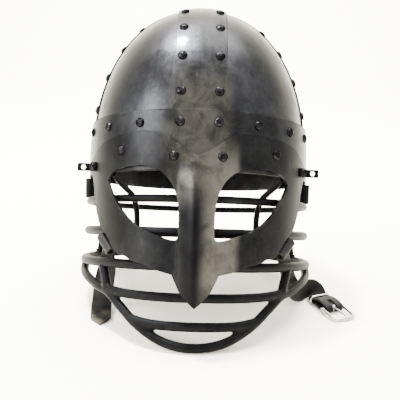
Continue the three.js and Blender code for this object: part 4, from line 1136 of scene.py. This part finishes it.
def make_posts():
    inset = BAR_RADIUS + THIN_BAR_RADIUS + 2 * FIT
    neck_foot_turn = NECK_BAR[-1][0]
    for side, right in SIDES:
        turn = right * REAR_POST_TURN
        top, middle = (on_plan(turn, HOOP_HALF_WIDTH, HOOP_BACK, z) for z in (EYE_RING_Z, 0.0))
        foot = on_plan(turn, LOWER_HALF_WIDTH, LOWER_BACK, lower_z(turn))
        for level, a, b in (("upper", top, middle), ("lower", middle, foot)):
            add_bar(f"rear_post_{side}_{level}", np.linspace(a, b, 6), POST_RADIUS)
            for spot, start, end in (("top", a, b), ("foot", b, a)):
                way = (end - start) / np.linalg.norm(end - start)
                off_ring = THIN_BAR_RADIUS if start is top else BAR_RADIUS + BEAD_OFF_BAR
                weld_bead(f"weld_{side}_{level}_{spot}", start + way * off_ring, way)
        line = [on_plan(right * neck_turn, HOOP_HALF_WIDTH - inset, HOOP_BACK - inset, share * RIM_Z)
                for neck_turn, share in NECK_BAR]
        line.append(on_plan(right * neck_foot_turn, LOWER_HALF_WIDTH, LOWER_BACK, lower_z(neck_foot_turn)))
        add_bar(f"neck_bar_{side}", smooth_line(line, 6), THIN_BAR_RADIUS)


def weld_bead(name, centre, way):
    """A lumpy ring of weld round a post."""
    rng = np.random.default_rng(name_seed(name))
    side, other = square_to(way, (0.3, 0.9, 0.2))
    angles = full_turn(28)
    radius = POST_RADIUS + BEAD_OFF_POST
    line = [centre + radius * (math.cos(a) * side + math.sin(a) * other) for a in angles]
    ragged = rng.uniform(-BEAD_RAGGED, BEAD_RAGGED, len(angles))
    radii = sizes().bead_radius / MM + BEAD_LUMP * np.sin(angles * BEAD_LUMPS) + ragged
    points, faces = tube(line, radii, 8, True)
    make_piece(name, from_level(points), faces, "helmet", [], "bars")


# ---- ear tabs and sleeves ----
def make_ear_tabs():
    width = SKULL_HALF_WIDTH + VISOR_OUTER
    depth = width * DEPTH_RATIO
    seat_y = -depth * math.cos(math.radians(TAB_TURN))
    ear_y = seat_y + TAB_STANDOFF
    start = width * math.sqrt(1 - (ear_y / depth) ** 2)
    end = start + TAB_REACH
    low, high = TAB_Z - TAB_HALF_HEIGHT, TAB_Z + TAB_HALF_HEIGHT
    outline = [[start + FIT + TAB_TUCK, low]]
    for first, z in ((-math.pi / 2, low + TAB_CORNER), (0, high - TAB_CORNER)):
        for a in first + np.linspace(0, math.pi / 2, 6):
            outline.append([end - TAB_CORNER + TAB_CORNER * math.cos(a), z + TAB_CORNER * math.sin(a)])
    outline.append([start + FIT + TAB_TUCK, high])
    x, radius = end - TAB_HOLE_SETBACK, TAB_HOLE_RADIUS
    hole = [[x + radius * math.cos(a), TAB_Z + radius * math.sin(a)] for a in full_turn(20)]

    def ear_at(y):
        return lambda flat: np.stack([flat[:, 0], np.full(len(flat), y), flat[:, 1]], -1)

    ear = plate(outline, [hole], TAB_SPACING, ear_at(ear_y), ear_at(ear_y + TAB_WALL))
    start_turn = math.degrees(math.acos(-(seat_y - TAB_STANDOFF) / depth))
    stop_turn = math.degrees(math.acos(-(ear_y + TAB_LAP) / (depth + TAB_LAP)))
    turns = np.linspace(start_turn, stop_turn, 12)
    heights = np.linspace(low, high, 5)
    foot = shell(np.array([on_skull(turns, z, TAB_OUTER) for z in heights]),
                 np.array([on_skull(turns, z, VISOR_OUTER + FIT) for z in heights]))
    points, faces = merge([ear[:2], foot[:2]])
    edge = np.concatenate([ear[2], foot[2]])
    for side, right in SIDES:
        flipped = faces if right > 0 else [f[::-1] for f in faces]
        smooth_piece(f"ear_tab_{side}", points * (right, 1, 1), flipped, "tabs", bevel=0.25, edge=edge)


def rolled_sheet(start, end, inner, outer, turns, seam):
    """A sheet rolled round a line, from its seam's angle, as grids of its outer and inner faces."""
    way = (end - start) / np.linalg.norm(end - start)
    side, other = square_to(way, (0.2, 1.0, 0.1))
    steps = int(turns * 28)
    angles = seam + np.linspace(0, turns * 2 * math.pi, steps)
    share = np.linspace(0, 1, steps)
    sheets = []
    for wall in (1, 0):
        grid = []
        for along in np.linspace(0, 1, 8):
            here = start + (end - start) * along
            if turns > 1:
                thick = (outer - inner) / turns * ROLL_FILL
                radius = inner + (outer - inner - thick) * share + thick * wall
            else:
                radius = np.full(steps, outer if wall else inner)
            ring = np.outer(np.cos(angles), side) + np.outer(np.sin(angles), other)
            grid.append(here + radius[:, None] * ring)
        sheets.append(np.array(grid))
    return shell(*sheets)


def make_sleeves():
    for side, right in SIDES:
        bottom = np.array((right * HOOP_HALF_WIDTH, SLEEVE_Y, EYE_RING_Z + THIN_BAR_RADIUS + FIT))
        top = np.array((right * (HOOP_HALF_WIDTH + SLEEVE_FLARE), SLEEVE_Y, RIM_Z - FIT))
        points, faces, edge = rolled_sheet(
            bottom, top, SLEEVE_INNER, SLEEVE_OUTER, SLEEVE_WRAP, SLEEVE_SEAM * right)
        smooth_piece(f"side_sleeve_{side}", points, faces, "bars", bevel=0.3, edge=edge)


# ---- strap ----
def roll_centre(right):
    """The middle of a strap's roll on the level helmet, and the way it lies."""
    width = SKULL_HALF_WIDTH + VISOR_INNER
    flip = np.array((right, 1, 1))
    along = ROLL_ALONG / np.linalg.norm(ROLL_ALONG)
    return on_plan(ROLL_TURN, width, width * DEPTH_RATIO, ROLL_Z) * flip, along * flip


def make_rolls():
    for side, right in SIDES:
        centre, along = roll_centre(right)
        ends = centre - along * ROLL_LENGTH / 2, centre + along * ROLL_LENGTH / 2
        points, faces, edge = rolled_sheet(*ends, ROLL_INNER, ROLL_OUTER, ROLL_WRAP, ROLL_SEAM * right)
        smooth_piece(f"strap_roll_{side}", points, faces, "leather", bevel=0.2, edge=edge)


def ribbon(rows, slot_at=None):
    """A strap through rows of centre, width direction and width, with a slot where slot_at says so."""
    centres = smooth_line([r[0] for r in rows], 5)
    acrosses = smooth_line([r[1] for r in rows], 5)
    widths = smooth_line([[r[2], 0, 0] for r in rows], 5)[:, 0]
    ahead = np.gradient(centres, axis=0)
    ahead /= np.linalg.norm(ahead, axis=1)[:, None]
    half = STRAP_WALL / 2
    right = [(u, half) for u in (SLOT_SHARE, 0.5, 0.8)] + [(0.93, half * 0.9), (1, half * 0.55)]
    top = [(-u, v) for u, v in right[::-1]] + right
    ring = top + [(u, -v) for u, v in top[::-1]]
    points, edge = [], []
    for here, way, across, width in zip(centres, ahead, acrosses, widths):
        across = across - way * np.dot(across, way)
        across /= np.linalg.norm(across)
        up = np.cross(across, way)
        for u, v in ring:
            points.append(here + across * u * width / 2 + up * v)
            edge.append(1.0 if abs(u) > 0.92 else 0.0)
    count = len(ring)
    near, far = len(right) - 1, len(right)
    across_near, across_far = count - 1 - near, count - 1 - far
    open_rows = [r for r, here in enumerate(centres) if slot_at and slot_at(here)]
    faces = grid_faces(len(centres), count, 0, True)
    if open_rows:
        first, last = open_rows[0], open_rows[-1]
        gone = {r * count + c for r in range(first, last) for c in (near, across_far)}
        faces = [f for f in faces if f[0] not in gone]
        for r in range(first, last):
            a, b = r * count, (r + 1) * count
            faces.append((b + near, a + near, a + across_near, b + across_near))
            faces.append((a + far, b + far, b + across_far, a + across_far))
        a, b = first * count, last * count
        faces.append((a + near, a + far, a + across_far, a + across_near))
        faces.append((b + far, b + near, b + across_near, b + across_far))
    last = (len(centres) - 1) * count
    for start, flip in ((0, True), (last, False)):
        for i in range(len(top) - 1):
            face = (start + i, start + i + 1, start + count - 2 - i, start + count - 1 - i)
            faces.append(face[::-1] if flip else face)
    points = np.array(points)
    return points, outward(points, faces), edge


def roll_start(right):
    """A strap's first row, where it leaves its roll."""
    stood = lean(roll_centre(right)[0]) + (0, 0, HELMET_ORIGIN[2] + FLOOR_LIFT)
    x, y, z = ROLL_START_ACROSS
    start = stood + ROLL_UNDERSIDE * ROLL_OUTER * ROLL_TO_STRAP
    return start, np.array((x, right * y, right * z)), STRAP_WIDTH


def route_rows(right, route):
    """A strap's rows from its roll along its route."""
    return [roll_start(right)] + [(np.array(a), np.array(b, float), float(w)) for a, b, w in route]


def buckle_rows():
    """The right strap's rows through the keeper, round the buckle's bar and back."""
    across = np.array((-math.sin(BUCKLE_HEADING), math.cos(BUCKLE_HEADING), 0.0))
    ahead_and_z = [
        (-KEEPER_BACK - 3, KEPT_LOW_Z), (-KEEPER_BACK, KEPT_LOW_Z),
        (-KEEPER_BACK / 2, (KEPT_LOW_Z + STRAP_LOW_Z) / 2),
    ]
    for angle in np.linspace(-math.pi / 2, math.pi / 2, 7):
        ahead_and_z.append((FOLD_RADIUS * math.cos(angle), BUCKLE_BAR[2] + FOLD_RADIUS * math.sin(angle)))
    ahead_and_z += [
        (-KEEPER_BACK * 0.3, FOLD_CREST_Z - 0.4), (-KEEPER_BACK * 0.65, FOLD_CREST_Z - 0.6),
        (-KEEPER_BACK, KEPT_HIGH_Z), (-KEEPER_BACK - 3, KEPT_HIGH_Z),
    ]
    rows = []
    for ahead, z in ahead_and_z:
        x = BUCKLE_BAR[0] + ahead * math.cos(BUCKLE_HEADING)
        y = BUCKLE_BAR[1] + ahead * math.sin(BUCKLE_HEADING)
        rows.append((np.array((x, y, z)), across, STRAP_WIDTH))
    return rows


def make_straps():
    points, faces, edge = ribbon(route_rows(-1, LEFT_ROUTE))
    make_piece("strap_left_worn", from_floor(points), faces, "helmet", ["strap_left"], "worn",
               edge=edge, angle=50)
    points, faces, edge = ribbon(route_rows(1, RIGHT_ROUTE) + buckle_rows(),
                                 lambda here: np.linalg.norm(here - BUCKLE_BAR) < SLOT_REACH)
    make_piece("strap_right_black", from_floor(points), faces, "helmet", ["strap_right"], "leather",
               edge=edge, angle=50)


# ---- buckle ----
def buckle_place(points, pitch):
    """Points about the buckle's bar, pitched down and turned to its heading, in metres."""
    turn = Matrix.Rotation(BUCKLE_HEADING - math.pi / 2, 3, "Z") @ Matrix.Rotation(-pitch, 3, "X")
    return from_floor(np.array([tuple(turn @ Vector(q)) for q in points]) + BUCKLE_BAR)


def add_metal(node, parts, pitch, body):
    points, faces = merge(parts)
    make_piece(node + "_bright", buckle_place(points, pitch), faces, body, [node], "nickel", angle=60)


def make_buckle():
    pitch = math.asin((BUCKLE_BAR[2] - FRAME_END_Z) / FRAME_LENGTH)
    half, far, corner = FRAME_HALF_WIDTH, FRAME_LENGTH, FRAME_CORNER
    wire = sizes().frame_wire / MM
    line = [(-half, y, 0) for y in np.linspace(0, far - corner, 8)]
    for a in np.linspace(0, math.pi / 2, 8)[1:]:
        line.append((-half + corner * (1 - math.cos(a)), far - corner + corner * math.sin(a), 0))
    arm = len(line)
    for x in np.linspace(-half + corner, half - corner, 8)[1:]:
        line.append((x, far + FRAME_BOW * (1 - (x / (half - corner)) ** 2), 0))
    line += [(-x, y, z) for x, y, z in line[:arm][::-1][1:]]
    bar = [(x, 0, 0) for x in np.linspace(-half - BAR_OVERHANG, half + BAR_OVERHANG, 6)]
    add_metal("buckle_frame", [tube(line, wire, 14), tube(bar, wire, 14)], pitch, "buckle")

    rod = smooth_line(PRONG_LINE, 5)
    radii = np.interp(np.arange(len(rod)), [0, len(rod) - 4, len(rod) - 1], PRONG_RADII)
    parts = [tube(rod, radii, 12)]
    for x in (-COLLAR_PITCH, 0, COLLAR_PITCH):
        collar = [(x, COLLAR_RADIUS * math.cos(a), COLLAR_RADIUS * math.sin(a)) for a in full_turn(24)]
        parts.append(tube(collar, COLLAR_WIRE, 10, True))
    add_metal("buckle_prong", parts, pitch, "prong")

    low, high = KEEPER_LOW_Z - BUCKLE_BAR[2], KEEPER_HIGH_Z - BUCKLE_BAR[2]
    ring = []
    for a in full_turn(48):
        x, z = (math.copysign(abs(v) ** KEEPER_SQUARENESS, v) for v in (math.cos(a), math.sin(a)))
        ring.append((x * KEEPER_HALF_WIDTH, -KEEPER_BACK, z * (high - low) / 2 + (high + low) / 2))
    add_metal("keeper_ring", [tube(ring, sizes().keeper_wire / MM, 12, True)], 0, "helmet")


# ---- stage ----
PAPER = (0.93, 0.9, 0.78)
SKY = (0.98, 0.99, 1.0)
FLOOR_FRONT = -3.0
FLOOR_BACK = 1.6
FLOOR_HALF_WIDTH = 5.0
BACKDROP_BEND = 0.9
BACKDROP_TOP = 5.0
# Each light's name, place, aim, size in metres and colour, and the setting that holds its power
LIGHTS = [
    ("lamp", (-0.47, 0.2, 1.645), (-0.03, -0.04, 0.24), 0.2, (1, 1, 1), "lamp_power"),
    ("window", (-1.5, -0.7, 0.95), (0, 0, 0.12), 0.9, (0.97, 0.98, 1.0), "window_power"),
    ("backdrop glow", (0.0, 0.9, 2.2), (0, 2.0, 0.6), 2.5, (1, 0.99, 0.98), "backdrop_power"),
]
# The camera stands this far before the level helmet's middle, in millimetres
CAMERA_AWAY = 630.0
CAMERA_PITCH = LEAN - math.radians(2.9)
CAMERA_PAN = math.atan(2.8 / 653)


def aimed(name, data, place, aim):
    """An object at a place that looks the way of aim."""
    made = bpy.data.objects.new(name, data)
    made.location = place
    made.rotation_mode = "QUATERNION"
    made.rotation_quaternion = aim.to_track_quat("-Z", "Y")
    bpy.context.scene.collection.objects.link(made)
    return made


def make_floor():
    bend = [(FLOOR_BACK + BACKDROP_BEND * math.sin(a), BACKDROP_BEND * (1 - math.cos(a)))
            for a in np.linspace(0, math.pi / 2, 16)[1:]]
    sweep = [(FLOOR_FRONT, 0.0), (FLOOR_BACK, 0.0), *bend, (FLOOR_BACK + BACKDROP_BEND, BACKDROP_TOP)]
    points = [(x, y, z) for y, z in sweep for x in (-FLOOR_HALF_WIDTH, FLOOR_HALF_WIDTH)]
    faces = [(2 * i, 2 * i + 1, 2 * i + 3, 2 * i + 2) for i in range(len(sweep) - 1)]
    mesh = bpy.data.meshes.new("floor")
    mesh.from_pydata(points, [], faces)
    mesh.polygons.foreach_set("use_smooth", [True] * len(faces))
    mesh.materials.append(Shader("paper").set(base_color=PAPER, roughness=0.8))
    floor = bpy.data.objects.new("floor", mesh)
    bpy.context.scene.collection.objects.link(floor)


def make_lights(settings):
    world = bpy.data.worlds.new("studio")
    bpy.context.scene.world = world
    world.use_nodes = True
    sky = world.node_tree.nodes["Background"]
    sky.inputs["Color"].default_value = (*SKY, 1)
    sky.inputs["Strength"].default_value = settings.sky
    for name, place, aim, size, colour, power in LIGHTS:
        light = bpy.data.lights.new(name, "AREA")
        light.shape = "DISK"
        light.size = size
        light.energy = getattr(settings, power)
        light.color = colour
        aimed(name, light, place, Vector(aim) - Vector(place))


def make_camera(settings):
    pan, pitch = CAMERA_PAN, CAMERA_PITCH
    ahead = Vector((math.sin(pan), math.cos(pan) * math.cos(pitch), -math.sin(pitch)))
    camera = aimed("camera", bpy.data.cameras.new("camera"), from_level((0.0, -CAMERA_AWAY, 0.0)), ahead)
    roll = Matrix.Rotation(math.radians(settings.roll), 3, "Z")
    turn = ahead.to_track_quat("-Z", "Y").to_matrix()
    camera.rotation_quaternion = (turn @ roll).to_quaternion()
    camera.data.sensor_width = 36
    camera.data.lens = settings.lens
    camera.data.clip_start = 0.01
    bpy.context.scene.camera = camera


class HelmetStage(bpy.types.PropertyGroup):
    """Light and camera of the stage"""

    lens: bpy.props.FloatProperty(name="Lens", description="Focal length", default=58.77, unit="CAMERA")
    roll: bpy.props.FloatProperty(name="Roll", description="Camera roll in degrees", default=1.8)
    sky: bpy.props.FloatProperty(name="Sky", description="Strength of the even light", default=3.6, min=0)
    lamp_power: bpy.props.FloatProperty(
        name="Lamp", description="Power of the lamp overhead, in watts", default=135, min=0)
    window_power: bpy.props.FloatProperty(
        name="Window", description="Power of the soft light from the left, in watts", default=100, min=0)
    backdrop_power: bpy.props.FloatProperty(
        name="Backdrop", description="Power of the light on the backdrop, in watts", default=600, min=0)


class HELMET_OT_skull_plates(bpy.types.Operator):
    """Add the four plates of the skull"""

    bl_idname = "helmet.skull_plates"
    bl_label = "Skull plates"

    def execute(self, context):
        make_skull_plates()
        return {"FINISHED"}


class HELMET_OT_bands(bpy.types.Operator):
    """Add the crest, side and brow bands"""

    bl_idname = "helmet.bands"
    bl_label = "Bands"

    def execute(self, context):
        make_crest_band()
        make_side_bands()
        make_brow_band()
        return {"FINISHED"}


class HELMET_OT_visor(bpy.types.Operator):
    """Add the visor with its folded nasal"""

    bl_idname = "helmet.visor"
    bl_label = "Visor"

    def execute(self, context):
        make_visor()
        return {"FINISHED"}


class HELMET_OT_rivets(bpy.types.Operator):
    """Add every rivet head"""

    bl_idname = "helmet.rivets"
    bl_label = "Rivets"

    def execute(self, context):
        make_rivets()
        return {"FINISHED"}


class HELMET_OT_guard(bpy.types.Operator):
    """Add the hoops, the chin guard, the posts and the neck bars"""

    bl_idname = "helmet.guard"
    bl_label = "Bar guard"

    def execute(self, context):
        make_hoops()
        make_chin_guard()
        make_posts()
        return {"FINISHED"}


class HELMET_OT_fittings(bpy.types.Operator):
    """Add the ear tabs and the side sleeves"""

    bl_idname = "helmet.fittings"
    bl_label = "Tabs and sleeves"

    def execute(self, context):
        make_ear_tabs()
        make_sleeves()
        return {"FINISHED"}


class HELMET_OT_straps(bpy.types.Operator):
    """Add the rolls and both halves of the strap"""

    bl_idname = "helmet.straps"
    bl_label = "Straps"

    def execute(self, context):
        make_rolls()
        make_straps()
        return {"FINISHED"}


class HELMET_OT_buckle(bpy.types.Operator):
    """Add the buckle, its prong and the keeper"""

    bl_idname = "helmet.buckle"
    bl_label = "Buckle"

    def execute(self, context):
        make_buckle()
        return {"FINISHED"}


class HELMET_OT_stage(bpy.types.Operator):
    """Add the floor, the lights and the camera"""

    bl_idname = "helmet.stage"
    bl_label = "Stage"

    def execute(self, context):
        make_floor()
        make_lights(context.scene.helmet_stage)
        make_camera(context.scene.helmet_stage)
        return {"FINISHED"}


OPERATORS = (
    HELMET_OT_skull_plates,
    HELMET_OT_bands,
    HELMET_OT_visor,
    HELMET_OT_rivets,
    HELMET_OT_guard,
    HELMET_OT_fittings,
    HELMET_OT_straps,
    HELMET_OT_buckle,
    HELMET_OT_stage,
)
GROUPS = {"helmet_colours": HelmetColours, "helmet_sizes": HelmetSizes, "helmet_stage": HelmetStage}


class HELMET_PT_build(bpy.types.Panel):
    """Lists the helmet's pieces and settings"""

    bl_label = "Helmet"
    bl_idname = "HELMET_PT_build"
    bl_space_type = "VIEW_3D"
    bl_region_type = "UI"
    bl_category = "Helmet"

    def draw(self, context):
        for made in OPERATORS:
            self.layout.operator(made.bl_idname)
        for name, group in GROUPS.items():
            for key in group.__annotations__:
                self.layout.prop(getattr(context.scene, name), key)


CLASSES = (*GROUPS.values(), *OPERATORS, HELMET_PT_build)


def register():
    for made in CLASSES:
        bpy.utils.register_class(made)
    for name, group in GROUPS.items():
        setattr(bpy.types.Scene, name, bpy.props.PointerProperty(type=group))


def unregister():
    for name in GROUPS:
        delattr(bpy.types.Scene, name)
    for made in reversed(CLASSES):
        bpy.utils.unregister_class(made)


def main():
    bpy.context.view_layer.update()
    register()
    for made in OPERATORS:
        getattr(bpy.ops.helmet, made.bl_idname.split(".")[1])()


if __name__ == "__main__":
    main()
